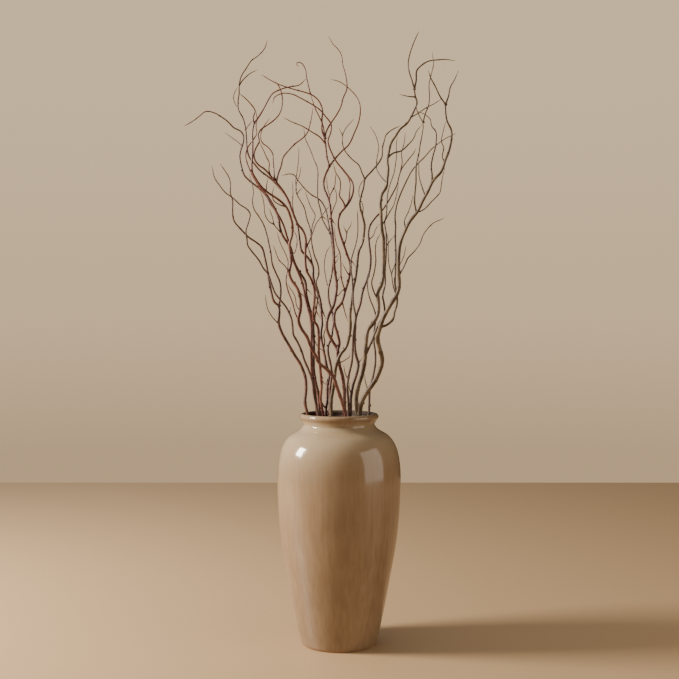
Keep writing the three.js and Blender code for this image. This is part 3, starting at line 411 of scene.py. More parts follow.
        {"thick": 1.4, "lean": -0.3, "route": [[166, 1186], [150, 1187.5], [134, 1191]]},
        {"thick": 1.8, "lean": 0.2, "route": [
            [106, 1056], [118, 1065], [135, 1070], [149, 1082], [161, 1096], [168, 1112], [178, 1124],
        ]},
        {"thick": 1.2, "lean": -0.25, "route": [
            [155, 1142], [170, 1150], [189, 1163], [205, 1171], [221, 1181],
        ]},
        {"thick": 1.2, "lean": 0.35, "route": [
            [104, 1000], [92, 1013], [82, 1030], [82, 1052], [86, 1076], [80, 1102], [69, 1120],
        ]},
        {"thick": 1.4, "lean": -0.25, "route": [
            [92.5, 908], [101, 921], [109, 936], [118, 951], [124, 972], [129, 998],
        ]},
    ]},
    {"name": "stem_thickest_right", "bark": "olive", "thick": 5.2,
     "foot": [30, -26], "depth": -36, "phase": 0, "route": [
        [40, 472], [45, 500], [50, 526], [61, 546], [79, 572], [91, 600], [94, 618], [88, 643], [84, 664],
        [89, 685], [97, 708], [112, 736], [127, 761], [131, 783], [129, 811], [130, 845], [133, 869],
        [143, 896], [155, 919], [170, 938], [181, 960], [194, 984], [205, 1006], [222, 1025], [231, 1050],
        [239, 1071], [244, 1097], [243.5, 1114], [234, 1135], [231, 1154], [230, 1170], [219, 1187],
        [209, 1208], [198, 1229], [194, 1241],
    ], "twigs": [
        {"thick": 1.2, "lean": 0.35, "route": [[63, 548], [60, 560], [57, 571], [56, 582]]},
        {"thick": 2.6, "lean": 0.1, "route": [
            [90, 688], [103, 692], [117, 704], [121, 721], [126, 738], [126, 757], [122, 780], [122, 805],
            [123, 835], [123, 860], [122, 885], [123, 907], [121.5, 926], [124, 947], [131, 970],
            [140, 991], [150, 1012], [159, 1028], [174, 1045], [187, 1058], [199, 1072], [212, 1083],
            [230, 1096], [252, 1106.5],
        ], "twigs": [
            {"thick": 1.2, "lean": -0.15, "route": [
                [126, 752], [118, 776], [114, 803], [109, 822], [107, 846], [107, 872], [104, 892],
            ], "twigs": [
                {"thick": 1.2, "lean": -0.3, "route": [[114, 803], [117, 812], [121, 822], [125, 831]]},
            ]},
        ]},
        {"thick": 1.6, "lean": -0.3, "route": [
            [230, 1168], [237, 1187], [241, 1207], [250, 1223], [257, 1239],
        ]},
        {"thick": 1.9, "lean": 0.2, "route": [
            [202, 1001], [202, 1016], [200, 1036], [203, 1056], [209, 1078], [211, 1095], [210, 1111],
            [201, 1123], [197, 1139], [185, 1149], [173, 1154],
        ]},
        {"thick": 1.8, "lean": -0.2, "route": [
            [168, 936], [164, 959], [165, 982], [167, 1002], [167, 1022], [168, 1042], [173, 1063],
            [176, 1084], [180, 1105], [182, 1128], [174, 1146], [168, 1160], [168, 1180],
        ], "twigs": [
            {"thick": 1.3, "lean": -0.2, "route": [
                [182, 1130], [187, 1150], [194, 1168], [196, 1190], [195, 1213], [200, 1236],
                [204.5, 1256], [202, 1279],
            ]},
        ]},
        {"thick": 1.3, "lean": -0.3, "route": [
            [145, 901], [142, 918], [150, 937], [156, 953], [160, 971],
        ]},
        {"thick": 1.3, "lean": -0.3, "route": [
            [168, 936], [184, 943], [201, 960], [219, 980], [222, 997], [225, 1015], [229, 1030],
        ]},
        {"thick": 1.4, "lean": 0.3, "route": [
            [187, 972], [180, 992], [174, 1013], [173, 1035], [173, 1048],
        ]},
        {"thick": 1.6, "lean": -0.3, "route": [
            [130, 799], [140, 817], [150, 838], [164, 853], [176, 870], [184, 890], [204, 913],
            [226, 923],
        ]},
        {"thick": 1.0, "lean": -0.5, "route": [[129.5, 818], [141, 843], [145, 863]]},
        {"thick": 1.3, "lean": 0.35, "route": [
            [229, 1045], [224, 1057], [227, 1076], [222, 1091], [225, 1108], [230, 1129],
        ]},
    ]},
    {"name": "stem_short_right", "bark": "grey", "thick": 2.8,
     "foot": [38, 2], "depth": 4, "phase": 1.5, "route": [
        [60, 472], [65, 500], [66, 528], [67, 552], [74, 580], [79, 608], [79, 634], [76, 656], [77, 683],
        [80, 711], [75, 730], [68, 747], [63, 766], [62, 785], [66, 806],
    ], "twigs": []},
]

# ---- making the shapes --------------------------------------------------------------------------


def smooth(points, step):
    """Points at most step apart on a centripetal Catmull-Rom curve through the given points.

    Each point is a Vector of any number of values, of which the first two or three are a place.
    """
    ends = [points[0] * 2 - points[1]] + points + [points[-1] * 2 - points[-2]]
    result = [points[0]]
    for a, b, c, d in zip(ends, ends[1:], ends[2:], ends[3:]):
        t1 = max((b - a).length, 1e-6) ** 0.5
        t2 = t1 + max((c - b).length, 1e-6) ** 0.5
        t3 = t2 + max((d - c).length, 1e-6) ** 0.5
        count = max(1, math.ceil((c - b).length / step))
        for i in range(1, count + 1):
            t = t1 + (t2 - t1) * i / count
            ab = a * ((t1 - t) / t1) + b * (t / t1)
            bc = b * ((t2 - t) / (t2 - t1)) + c * ((t - t1) / (t2 - t1))
            cd = c * ((t3 - t) / (t3 - t2)) + d * ((t - t2) / (t3 - t2))
            abc = ab * ((t2 - t) / t2) + bc * (t / t2)
            bcd = bc * ((t3 - t) / (t3 - t1)) + cd * ((t - t1) / (t3 - t1))
            result.append(abc * ((t2 - t) / (t2 - t1)) + bcd * ((t - t1) / (t2 - t1)))
    return result


def arc(centre, radius, start, end, steps):
    """Points on an arc from one angle, in degrees, to the other."""
    turn = [math.radians(start + (end - start) * i / steps) for i in range(steps + 1)]
    return [Vector((centre[0] + radius * math.cos(a), centre[1] + radius * math.sin(a))) for a in turn]


def wall_profile():
    """The vase's wall as [radius, height] in millimetres, from the underside's middle to the floor's."""
    outside = smooth([Vector(p) for p in OUTSIDE], WALL_STEP["outside"])
    centre = (LIP["centre"], RIM - LIP["radius"])
    lip = arc(centre, LIP["radius"], LIP["from"], LIP["to"], LIP_STEPS)
    inside = smooth([Vector(p) for p in INSIDE], WALL_STEP["inside"])
    return [Vector(p) for p in FOOT] + outside + lip + inside + [Vector(p) for p in FLOOR]


def mesh_object(name, vertices, faces):
    """A new mesh object at the origin, in the scene."""
    mesh = bpy.data.meshes.new(name)
    mesh.from_pydata(vertices, [], faces)
    mesh.update()
    made = bpy.data.objects.new(name, mesh)
    bpy.context.scene.collection.objects.link(made)
    return made


def thrown_vase(name, sides):
    """Turns the wall's profile round the Z axis. The two ends of the profile are single points."""
    profile = wall_profile()
    rings = profile[1:-1]
    vertices = [(0, 0, profile[0].y * MM)]
    for point in rings:
        for k in range(sides):
            turn = 2 * math.pi * k / sides
            radius = point.x * MM
            vertices.append((radius * math.cos(turn), radius * math.sin(turn), point.y * MM))
    vertices.append((0, 0, profile[-1].y * MM))
    faces = []
    for k in range(sides):
        after = (k + 1) % sides
        faces.append((0, 1 + after, 1 + k))
        for i in range(len(rings) - 1):
            low = 1 + i * sides
            high = low + sides
            faces.append((low + k, low + after, high + after, high + k))
        top = 1 + (len(rings) - 1) * sides
        faces.append((top + k, top + after, len(vertices) - 1))
    made = mesh_object(name, vertices, faces)
    for face in made.data.polygons:
        face.use_smooth = True
        inward = face.normal.x * face.center.x + face.normal.y * face.center.y < 0
        # Inward faces above the floor get the second material, the inside glaze, whose dark colour is painted
        # shade.
        if inward and face.center.z > FLOOR[0][1] * MM:
            face.material_index = 1
    return made


def layer_depth(stem, height):
    """Depth of a main stem at a height: its own layer, fanned out above the rim, with a curl."""
    rise = max(0, height - RIM) / CROWN_HEIGHT
    reach = SWAY["low"] + (SWAY["high"] - SWAY["low"]) * rise
    curl = math.sin(2 * math.pi * (height - RIM) / SWAY["wave"] + stem["phase"])
    return stem["depth"] * (1 + CROWN_FAN * rise) + reach * curl * min(1, SWAY_START * rise)


def along_sight(point, depth):
    """Carries a point of the upright plane along the line of sight to its depth."""
    scale = (depth - EYE["y"]) / -EYE["y"]
    return Vector((point[0] * scale, depth, EYE["z"] + (point[1] - EYE["z"]) * scale))


def depth_beside(route, depths, point):
    """Depth of a placed route beside a drawn point."""
    at = Vector(point)
    best = (math.inf, 0)
    for i in range(1, len(route)):
        start = Vector(route[i - 1])
        run = Vector(route[i]) - start
        along = min(1, max(0, (at - start).dot(run) / run.length_squared))
        distance = (start + run * along - at).length
        best = min(best, (distance, depths[i - 1] + (depths[i] - depths[i - 1]) * along))
    return best[1]


def rod(points, start_radius, end_radius, flare):
    """A finely stepped rod: smoothed points with a radius each, flared at its root, pointed at its tip.

    Millimetres. The radius runs evenly from point to point, as on the solid stem.
    """
    last = len(points) - 1
    radii = [start_radius + (end_radius - start_radius) * (i / last) ** TAPER for i in range(last + 1)]
    fine = smooth([Vector((*p, r)) for p, r in zip(points, radii)], RING_STEP)
    lengths = [0]
    for before, here in zip(fine, fine[1:]):
        lengths.append(lengths[-1] + (here - before).xyz.length)
    result = []
    for point, along in zip(fine, lengths):
        radius = point.w * (1 + flare * math.exp(-along / FLARE_LENGTH))
        left = min(1, (lengths[-1] - along) / TIP_LENGTH)
        result.append((point.xyz, radius * (TIP_WIDTH + (1 - TIP_WIDTH) * left)))
    return result


def stem_rods(stem):
    """Every rod of a stem: its main length, then its twigs and their own twigs."""
    depths = [layer_depth(stem, up) for _, up in stem["route"]]
    points = [along_sight(p, d) for p, d in zip(stem["route"], depths)]
    neck = stem["route"][0]
    points[0] = Vector((neck[0], stem["depth"], neck[1]))
    points.insert(0, Vector((*stem["foot"], CUT_END)))
    rods = [rod(points, stem["thick"], STEM_TIP, 0)]
    waiting = [(twig, stem["route"], depths) for twig in stem["twigs"]]
    while waiting:
        twig, parent_route, parent_depths = waiting.pop(0)
        route = twig["route"]
        root = depth_beside(parent_route, parent_depths, route[0])
        depths = []
        along = 0
        for i, point in enumerate(route):
            if i > 0:
                along += math.dist(point, route[i - 1])
            curl = math.sin(along / TWIG_CURL["wave"]) * min(TWIG_CURL["reach"], along / TWIG_CURL["growth"])
            depths.append(root + twig["lean"] * along * math.exp(-along / TWIG_REACH) + curl)
        points = [along_sight(p, d) for p, d in zip(route, depths)]
        rods.append(rod(points, twig["thick"], TWIG_TIP, TWIG_FLARE))
        waiting += [(small, route, depths) for small in twig.get("twigs", [])]
    return rods


# ---- nodes --------------------------------------------------------------------------------------


def add(tree, kind, inputs=None, stops=(), **settings):
    """Adds one node with its settings, and links or sets its inputs.

    An input is a value, the output that feeds it, or a node whose first output does. A colour ramp is
    also given its stops, each a position and an sRGB hex value.
    """
    made = tree.nodes.new(kind)
    for name, value in settings.items():
        setattr(made, name, value)
    for index, (position, code) in enumerate(stops):
        if index >= len(made.color_ramp.elements):
            made.color_ramp.elements.new(1.0)
        made.color_ramp.elements[index].position = position
        made.color_ramp.elements[index].color = linear(code)
    for key, value in (inputs or {}).items():
        if isinstance(value, bpy.types.Node):
            value = value.outputs[0]
        if isinstance(value, bpy.types.NodeSocket):
            tree.links.new(value, made.inputs[key])
        else:
            made.inputs[key].default_value = value
    return made


def linear(code):
    """An sRGB hex value such as "8a5a3c" as linear red, green, blue and a full alpha."""
    values = [int(code[i : i + 2], 16) / 255 for i in (0, 2, 4)]
    return [v / 12.92 if v <= 0.04045 else ((v + 0.055) / 1.055) ** 2.4 for v in values] + [1.0]


def new_material(name):
    """An empty material with its node tree and its shader."""
    material = bpy.data.materials.new(name)
    material.use_nodes = True
    tree = material.node_tree
    tree.nodes.clear()
    shader = add(tree, "ShaderNodeBsdfPrincipled")
    add(tree, "ShaderNodeOutputMaterial", {"Surface": shader.outputs[0]})
    return material, tree, shader


# ---- winding rods with buds, as a Geometry Nodes tree -------------------------------------------


def winding_rod_tree():
    """Sweeps a round section along each spline, with a swelling and a bud at every node of growth.

    Lengths are in metres. The result keeps two attributes for the bark: "rod", each point's place as
    if the rod were straight, and "girth", the rod's radius there.
    """
    tree = bpy.data.node_groups.new("winding_rod", "GeometryNodeTree")
    inputs = (
        ("Curve", "NodeSocketGeometry"),
        ("Sides", "NodeSocketInt"),
        ("Node Spacing", "NodeSocketFloat"),
        ("Node Swelling", "NodeSocketFloat"),
        ("Node Width", "NodeSocketFloat"),
        ("Wrinkle Depth", "NodeSocketFloat"),
        ("Bud", "NodeSocketObject"),
        ("Seed", "NodeSocketInt"),
        ("Bark", "NodeSocketMaterial"),
    )
    for name, kind in inputs:
        tree.interface.new_socket(name, in_out="INPUT", socket_type=kind)
    tree.interface.new_socket("Stem", in_out="OUTPUT", socket_type="NodeSocketGeometry")
    given = add(tree, "NodeGroupInput").outputs

    # Nodes of growth: a whole number of equal steps along each spline.
    spline = add(tree, "GeometryNodeSplineLength").outputs["Length"]
    along = add(tree, "GeometryNodeSplineParameter").outputs["Length"]
    steps = add(tree, "ShaderNodeMath", {0: spline, 1: given["Node Spacing"]}, operation="DIVIDE")
    steps = add(tree, "ShaderNodeMath", {0: steps}, operation="ROUND")
    steps = add(tree, "ShaderNodeMath", {0: steps, 1: 1.0}, operation="MAXIMUM")
    spacing = add(tree, "ShaderNodeMath", {0: spline, 1: steps}, operation="DIVIDE")
    half = add(tree, "ShaderNodeMath", {0: spacing, 1: 0.5}, operation="MULTIPLY")
    off_node = add(tree, "ShaderNodeMath", {0: along, 1: half}, operation="PINGPONG")
    swelling = add(
        tree,
        "ShaderNodeMapRange",
        {"Value": off_node, "From Max": given["Node Width"], "To Min": 1.0, "To Max": 0.0},
        interpolation_type="SMOOTHSTEP",
    )
    swelling = add(
        tree, "ShaderNodeMath", {0: swelling, 1: given["Node Swelling"], 2: 1.0}, operation="MULTIPLY_ADD"
    )
    radius = add(tree, "GeometryNodeInputRadius")
    girth = add(tree, "ShaderNodeMath", {0: radius, 1: swelling}, operation="MULTIPLY")
    curve = add(
        tree,
        "GeometryNodeStoreNamedAttribute",
        {"Geometry": given["Curve"], "Name": "girth", "Value": girth},
        data_type="FLOAT",
    )
    curve = add(
        tree,
        "GeometryNodeStoreNamedAttribute",
        {"Geometry": curve, "Name": "rod_length", "Value": along},
        data_type="FLOAT",
    )

    # The section, whose own place on a unit circle is kept for the bark.
    circle = add(tree, "GeometryNodeCurvePrimitiveCircle", {"Resolution": given["Sides"], "Radius": 1.0})
    place = add(tree, "GeometryNodeInputPosition")
    section = add(
        tree,
        "GeometryNodeStoreNamedAttribute",
        {"Geometry": circle, "Name": "rod_side", "Value": place},
        data_type="FLOAT_VECTOR",
    )
    kept_girth = add(tree, "GeometryNodeInputNamedAttribute", {"Name": "girth"}, data_type="FLOAT")
    swept = add(
        tree,
        "GeometryNodeCurveToMesh",
        {"Curve": curve, "Profile Curve": section, "Scale": kept_girth, "Fill Caps": True},
    )
    side = add(tree, "GeometryNodeInputNamedAttribute", {"Name": "rod_side"}, data_type="FLOAT_VECTOR")
    length = add(tree, "GeometryNodeInputNamedAttribute", {"Name": "rod_length"}, data_type="FLOAT")
    side = add(tree, "ShaderNodeVectorMath", {0: side, "Scale": kept_girth}, operation="SCALE")
    lift = add(tree, "ShaderNodeCombineXYZ", {"Z": length})
    rod_place = add(tree, "ShaderNodeVectorMath", {0: side, 1: lift}, operation="ADD")
    swept = add(
        tree,
        "GeometryNodeStoreNamedAttribute",
        {"Geometry": swept, "Name": "rod", "Value": rod_place},
        data_type="FLOAT_VECTOR",
    )

    # Lengthwise wrinkles of dried bark: noise that is drawn out along the rod.
    here = add(tree, "GeometryNodeInputNamedAttribute", {"Name": "rod"}, data_type="FLOAT_VECTOR")
    drawn = add(tree, "ShaderNodeVectorMath", {0: here, 1: WRINKLE_STRETCH}, operation="MULTIPLY")
    shift = add(tree, "ShaderNodeCombineXYZ", {"X": given["Seed"]})
    seeded = add(tree, "ShaderNodeVectorMath", {0: drawn, 1: shift}, operation="ADD")
    wrinkles = add(tree, "ShaderNodeTexNoise", {"Vector": seeded, "Scale": WRINKLE_SCALE, "Detail": 2.0})
    centred = add(tree, "ShaderNodeMath", {0: wrinkles, 1: 0.5}, operation="SUBTRACT")
    depth = add(tree, "ShaderNodeMath", {0: centred, 1: given["Wrinkle Depth"]}, operation="MULTIPLY")
    depth = add(tree, "ShaderNodeMath", {0: depth, 1: kept_girth}, operation="MULTIPLY")
    normal = add(tree, "GeometryNodeInputNormal")
    offset = add(tree, "ShaderNodeVectorMath", {0: normal, "Scale": depth}, operation="SCALE")
    swept = add(tree, "GeometryNodeSetPosition", {"Geometry": swept, "Offset": offset})

    # One bud at each node of growth, on a spiral of two turns to five buds.
    points = add(tree, "GeometryNodeResampleCurve", {"Curve": curve, "Length": spacing}, mode="LENGTH")
    tangent = add(tree, "GeometryNodeInputTangent")
    upright = add(tree, "FunctionNodeAlignRotationToVector", {"Vector": tangent}, axis="Z")
    index = add(tree, "GeometryNodeInputIndex")
    scatter = add(
        tree,
        "FunctionNodeRandomValue",
        {**BUD_SCATTER, "ID": index, "Seed": given["Seed"]},
        data_type="FLOAT",
    )
    scatter_value = [s for s in scatter.outputs if s.enabled][0]
    spiral = add(
        tree, "ShaderNodeMath", {0: index, 1: BUD_TURN, 2: scatter_value}, operation="MULTIPLY_ADD"
    )
    turn = add(tree, "FunctionNodeAxisAngleToRotation", {"Axis": (0, 0, 1), "Angle": spiral})
    facing = add(
        tree,
        "FunctionNodeRotateRotation",
        {"Rotation": upright, "Rotate By": turn},
        rotation_space="LOCAL",
    )
    bud_size = add(
        tree,
        "ShaderNodeMapRange",
        {
            "Value": kept_girth,
            "From Min": BUD_SIZES["thin"],
            "From Max": BUD_SIZES["thick"],
            "To Min": BUD_SIZES["least"],
            "To Max": 1.0,
        },
    )
    bud_size = add(tree, "ShaderNodeMath", {0: bud_size, 1: scatter_value}, operation="MULTIPLY")
    bud = add(tree, "GeometryNodeObjectInfo", {"Object": given["Bud"]})
    buds = add(
        tree,
        "GeometryNodeInstanceOnPoints",
        {
            "Points": points,
            "Instance": bud.outputs["Geometry"],
            "Rotation": facing,
            "Scale": bud_size,
        },
    )
    out = add(tree, "ShaderNodeMath", {0: kept_girth, 1: BUD_SEAT}, operation="MULTIPLY")
    out = add(tree, "ShaderNodeCombineXYZ", {"X": out})
    buds = add(
        tree,
        "GeometryNodeTranslateInstances",
        {"Instances": buds, "Translation": out, "Local Space": True},
    )
    together = add(tree, "GeometryNodeJoinGeometry")
    tree.links.new(buds.outputs[0], together.inputs[0])
    tree.links.new(swept.outputs[0], together.inputs[0])
    whole = add(tree, "GeometryNodeRealizeInstances", {"Geometry": together})
    whole = add(tree, "GeometryNodeSetShadeSmooth", {"Geometry": whole})
    whole = add(tree, "GeometryNodeSetMaterial", {"Geometry": whole, "Material": given["Bark"]})
    add(tree, "NodeGroupOutput", {"Stem": whole})
    return tree


def set_inputs(modifier, values):
    """Sets a Geometry Nodes modifier's inputs by their sockets' identifiers."""
    for socket in modifier.node_group.interface.items_tree:
        if socket.in_out == "INPUT" and socket.name in values:
            modifier[socket.identifier] = values[socket.name]


def plain_mesh(source, name):
    """The evaluated result of source as a plain mesh object of its own; source is removed."""
    bpy.context.view_layer.update()
    evaluated = source.evaluated_get(bpy.context.evaluated_depsgraph_get())
    mesh = bpy.data.meshes.new_from_object(evaluated)
    mesh.name = name
    made = bpy.data.objects.new(name, mesh)
    bpy.context.scene.collection.objects.link(made)
    bpy.data.objects.remove(source)
    return made


def bud_template():
    """A blunt cap pressed to the twig, its tip leaning in."""
    vertices = []
    for up, radius, lean in BUD_RINGS:
        for k in range(BUD_SIDES):
            turn = 2 * math.pi * k / BUD_SIDES
            out = radius * BUD_FLATNESS * math.cos(turn) + lean
            vertices.append((out * MM, radius * math.sin(turn) * MM, up * MM))
    vertices.append((BUD_TIP["lean"] * MM, 0, BUD_TIP["up"] * MM))
    faces = [tuple(reversed(range(BUD_SIDES)))]
    for low in range(0, (len(BUD_RINGS) - 1) * BUD_SIDES, BUD_SIDES):
        high = low + BUD_SIDES
        for k in range(BUD_SIDES):
            after = (k + 1) % BUD_SIDES
            faces.append((low + k, low + after, high + after, high + k))
    top = (len(BUD_RINGS) - 1) * BUD_SIDES
    faces += [(top + k, top + (k + 1) % BUD_SIDES, len(vertices) - 1) for k in range(BUD_SIDES)]
    return mesh_object("bud_template", vertices, faces)


def grown_stem(stem, tree, bud, bark, seed):
    """One stem with its twigs, as a plain mesh with its bark."""
    data = bpy.data.curves.new(stem["name"] + "_path", "CURVE")
    data.dimensions = "3D"
    for points in stem_rods(stem):
        spline = data.splines.new("POLY")
        spline.points.add(len(points) - 1)
        for control, (place, radius) in zip(spline.points, points):
            control.co = (*(place * MM), 1)
            control.radius = radius * MM
    path = bpy.data.objects.new(stem["name"] + "_path", data)
    bpy.context.scene.collection.objects.link(path)
    modifier = path.modifiers.new("winding_rod", "NODES")
    modifier.node_group = tree
    sizes = {
        "Sides": ROD_SIDES,
        "Node Spacing": NODE_SPACING,
        "Node Swelling": NODE_SWELLING,
        "Node Width": NODE_WIDTH,
        "Wrinkle Depth": WRINKLE_DEPTH,
    }
    set_inputs(modifier, {**sizes, "Bud": bud, "Seed": seed, "Bark": bark})
    return plain_mesh(path, stem["name"] + "_bark")


# ---- finishes -----------------------------------------------------------------------------------


def willow_bark(name, young, old, old_light, gloss):
    """Dried willow bark: thin, tight and slightly waxy on twigs, duller and paler on old wood.

    Its streaks are about 1 mm across and 9 mm long, its worn patches about 26 mm wide. Pale breathing
    pores lie across the stem some 4 mm apart. Real ones are about 1 mm wide and are drawn about three
    times as wide, so that they show.
    """
    material, tree, shader = new_material(name)
    rod_place = add(tree, "ShaderNodeAttribute", attribute_name="rod").outputs["Vector"]
    girth = add(tree, "ShaderNodeAttribute", attribute_name="girth").outputs["Fac"]
    place = add(tree, "ShaderNodeTexCoord").outputs["Object"]

    age = add(
        tree,
        "ShaderNodeMapRange",
        {"Value": girth, "From Min": 0.0011, "From Max": 0.0034},
        interpolation_type="SMOOTHSTEP",
    )
    drawn = add(tree, "ShaderNodeMapping", {"Vector": rod_place, "Scale": (1.0, 1.0, 0.12)})
    streaks = add(tree, "ShaderNodeTexNoise", {"Vector": drawn, "Scale": 900.0, "Detail": 3.0})
    patches = add(tree, "ShaderNodeTexNoise", {"Vector": place, "Scale": 38.0, "Detail": 3.0})
    worn = add(tree, "ShaderNodeMapRange", {"Value": patches, "From Min": 0.42, "From Max": 0.66})
    old_shade = add(
        tree, "ShaderNodeMix", {"Factor": worn, 6: linear(old), 7: linear(old_light)}, data_type="RGBA"
    )
    shade = add(
        tree,
        "ShaderNodeMix",
        {"Factor": age, 6: linear(young), 7: old_shade.outputs[2]},
        data_type="RGBA",
    )
    streak_light = add(
        tree,
        "ShaderNodeMapRange",
        {"Value": streaks, "From Min": 0.3, "From Max": 0.7, "To Min": 0.62, "To Max": 1.45},
    )
    shade = add(
        tree, "ShaderNodeVectorMath", {0: shade.outputs[2], "Scale": streak_light}, operation="SCALE"
    )
    across = add(tree, "ShaderNodeMapping", {"Vector": rod_place, "Scale": (0.45, 0.45, 1.0)})
    pores = add(tree, "ShaderNodeTexVoronoi", {"Vector": across, "Scale": 230.0})
    pore = add(
        tree,
        "ShaderNodeMapRange",
        {"Value": pores.outputs["Distance"], "From Min": 0.13, "From Max": 0.2, "To Min": 0.6, "To Max": 0.0},
    )
    coloured = add(
        tree, "ShaderNodeMix", {"Factor": pore, 6: shade, 7: linear(old_light)}, data_type="RGBA"
    )
    tree.links.new(coloured.outputs[2], shader.inputs["Base Color"])
    rough = add(
        tree, "ShaderNodeMapRange", {"Value": streaks, "To Min": gloss - 0.1, "To Max": gloss + 0.12}
    )
    tree.links.new(rough.outputs[0], shader.inputs["Roughness"])
    relief = add(tree, "ShaderNodeMath", {0: streaks, 1: pore}, operation="ADD")
    bump = add(tree, "ShaderNodeBump", {"Height": relief, "Strength": 0.35, "Distance": 0.0004})
    tree.links.new(bump.outputs[0], shader.inputs["Normal"])
    shader.inputs["IOR"].default_value = 1.45
    return material


def glazed_stoneware():
    """Glazed stoneware: a smooth, clear gloss over a mottled sandy glaze that ran down in the kiln.

    Runs 7 mm wide and 80 mm long, clouds of 110 mm and iron specks of 1.4 mm mottle it. It is thin and
    browner on the lip. Below the neck it is paler and yellower: the yellower tone is the glaze's own, and the
    paleness is partly the glaze's and partly painted light from above on the upward-facing shoulder. The
    lowest 3 mm, by the kiln shelf, are bare.
    """
    material, tree, shader = new_material("glazed_stoneware")
    place = add(tree, "ShaderNodeTexCoord").outputs["Object"]
    height = add(tree, "ShaderNodeSeparateXYZ", {0: place}).outputs["Z"]

    run_down = add(tree, "ShaderNodeMapping", {"Vector": place, "Scale": (1.0, 1.0, 0.09)})
    runs = add(tree, "ShaderNodeTexNoise", {"Vector": run_down, "Scale": 140.0, "Detail": 4.0})
    clouds = add(tree, "ShaderNodeTexNoise", {"Vector": place, "Scale": 9.0, "Detail": 3.0})
    specks = add(tree, "ShaderNodeTexNoise", {"Vector": place, "Scale": 700.0, "Detail": 1.0})
    mixed = add(tree, "ShaderNodeMath", {0: runs, 1: 0.55}, operation="MULTIPLY")
    mixed = add(tree, "ShaderNodeMath", {0: clouds, 1: 0.45, 2: mixed}, operation="MULTIPLY_ADD")
    shades = add(tree, "ShaderNodeValToRGB", {0: mixed}, stops=GLAZE_SHADES)
    # The paler band below the neck: partly the glaze's own tone, partly painted light from above on the
    # upward-facing shoulder.
    upper = add(tree, "ShaderNodeMapRange", {"Value": height, **SHOULDER_BAND_REACH})
    shoulder_tone_and_light = add(tree, "ShaderNodeValToRGB", {0: upper}, stops=SHOULDER_TONE_AND_LIGHT_BAND)
    glaze = add(
        tree, "ShaderNodeMix", {"Factor": shoulder_tone_and_light, 6: shades, 7: linear(SHOULDER_GLAZE_AND_TOP_LIGHT)}, data_type="RGBA"
    )
    iron = add(
        tree,
        "ShaderNodeMapRange",
        {"Value": specks, "From Min": 0.66, "From Max": 0.76, "To Min": 0.0, "To Max": 0.35},
    )
    glaze = add(
        tree,
        "ShaderNodeMix",
        {"Factor": iron, 6: glaze.outputs[2], 7: linear(IRON_SPECK)},
        data_type="RGBA",
    )
    glazed = add(tree, "ShaderNodeMapRange", {"Value": height, **GLAZE_EDGE})
    surface = add(
        tree,
        "ShaderNodeMix",
        {"Factor": glazed, 6: linear(BARE_CLAY), 7: glaze.outputs[2]},
        data_type="RGBA",
    )
    tree.links.new(surface.outputs[2], shader.inputs["Base Color"])
    rough = add(
        tree, "ShaderNodeMapRange", {"Value": height, **GLAZE_EDGE, "To Min": 0.8, "To Max": 0.13}
    )
    tree.links.new(rough.outputs[0], shader.inputs["Roughness"])
    waves = add(tree, "ShaderNodeTexNoise", {"Vector": place, "Scale": 22.0, "Detail": 1.0})
    bump = add(tree, "ShaderNodeBump", {"Height": waves, "Strength": 0.25, "Distance": 0.002})
    tree.links.new(bump.outputs[0], shader.inputs["Normal"])
    shader.inputs["IOR"].default_value = 1.5
    return material


def inner_glaze_painted_shade():
    """The inside's thin glaze, duller than the outside; its dark colour is painted shade, mottled by noise.
    """
    material, tree, shader = new_material("inner_glaze_painted_shade")
    place = add(tree, "ShaderNodeTexCoord").outputs["Object"]
    inner_mottle = add(tree, "ShaderNodeTexNoise", {"Vector": place, "Scale": 30.0, "Detail": 4.0})
    shade = add(tree, "ShaderNodeValToRGB", {0: inner_mottle}, stops=INNER_PAINTED_SHADE)
    tree.links.new(shade.outputs[0], shader.inputs["Base Color"])
    shader.inputs["Roughness"].default_value = 0.75
    shader.inputs["IOR"].default_value = 1.5
    return material


def plain_matt(name, code, roughness):
    """One even matt colour, as of a painted floor."""
    material, _, shader = new_material(name)
    shader.inputs["Base Color"].default_value = linear(code)
    shader.inputs["Roughness"].default_value = roughness
    return material


# ---- shades of the finishes ---------------------------------------------------------------------

GLAZE_SHADES = [(0.3, "7a634b"), (0.5, "856e55"), (0.7, "8f795f")]
# The shoulder's paler colour, partly the glaze's yellower tone and partly painted light from above.
SHOULDER_GLAZE_AND_TOP_LIGHT = "a08d70"
SHOULDER_BAND_REACH = {"From Min": 0.28, "From Max": 0.5}  # up the vase, from the belly to the lip
# How much of the paler shoulder colour lies at each height, as greys: partly the glaze's yellower tone,
# partly painted light from above.
SHOULDER_TONE_AND_LIGHT_BAND = [(0.0, "000000"), (0.5, "909090"), (0.75, "e6e6e6"), (0.88, "dcdcdc"), (0.95, "404040")]
IRON_SPECK = "6f5136"
BARE_CLAY = "b08a66"
GLAZE_EDGE = {"From Min": 0.0015, "From Max": 0.0045}  # up the foot, where the glaze starts
# The inside glaze's dark colours are painted shade, standing for the shade deep inside the vase.
INNER_PAINTED_SHADE = [(0.35, "2c1c12"), (0.7, "463222")]

# Each bark's shades on young wood, on old wood and where that is worn, and then its roughness.
BARKS = {
    "red": willow_bark("willow_bark_red", "52241a", "4d2118", "744c3d", 0.42),
    "brown": willow_bark("willow_bark_brown", "43271d", "40251b", "664131", 0.45),
    "grey": willow_bark("willow_bark_grey", "433029", "463128", "6a5247", 0.5),
    "olive": willow_bark("willow_bark_olive", "432e21", "47341f", "6f5c45", 0.45),
}

# ---- the object ---------------------------------------------------------------------------------

vase = thrown_vase("glazed_vase", VASE_SIDES)
vase.data.materials.append(glazed_stoneware())
# The second material is the inside glaze, darkened as painted shade.
vase.data.materials.append(inner_glaze_painted_shade())
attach(vase, "root")
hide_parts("vase")

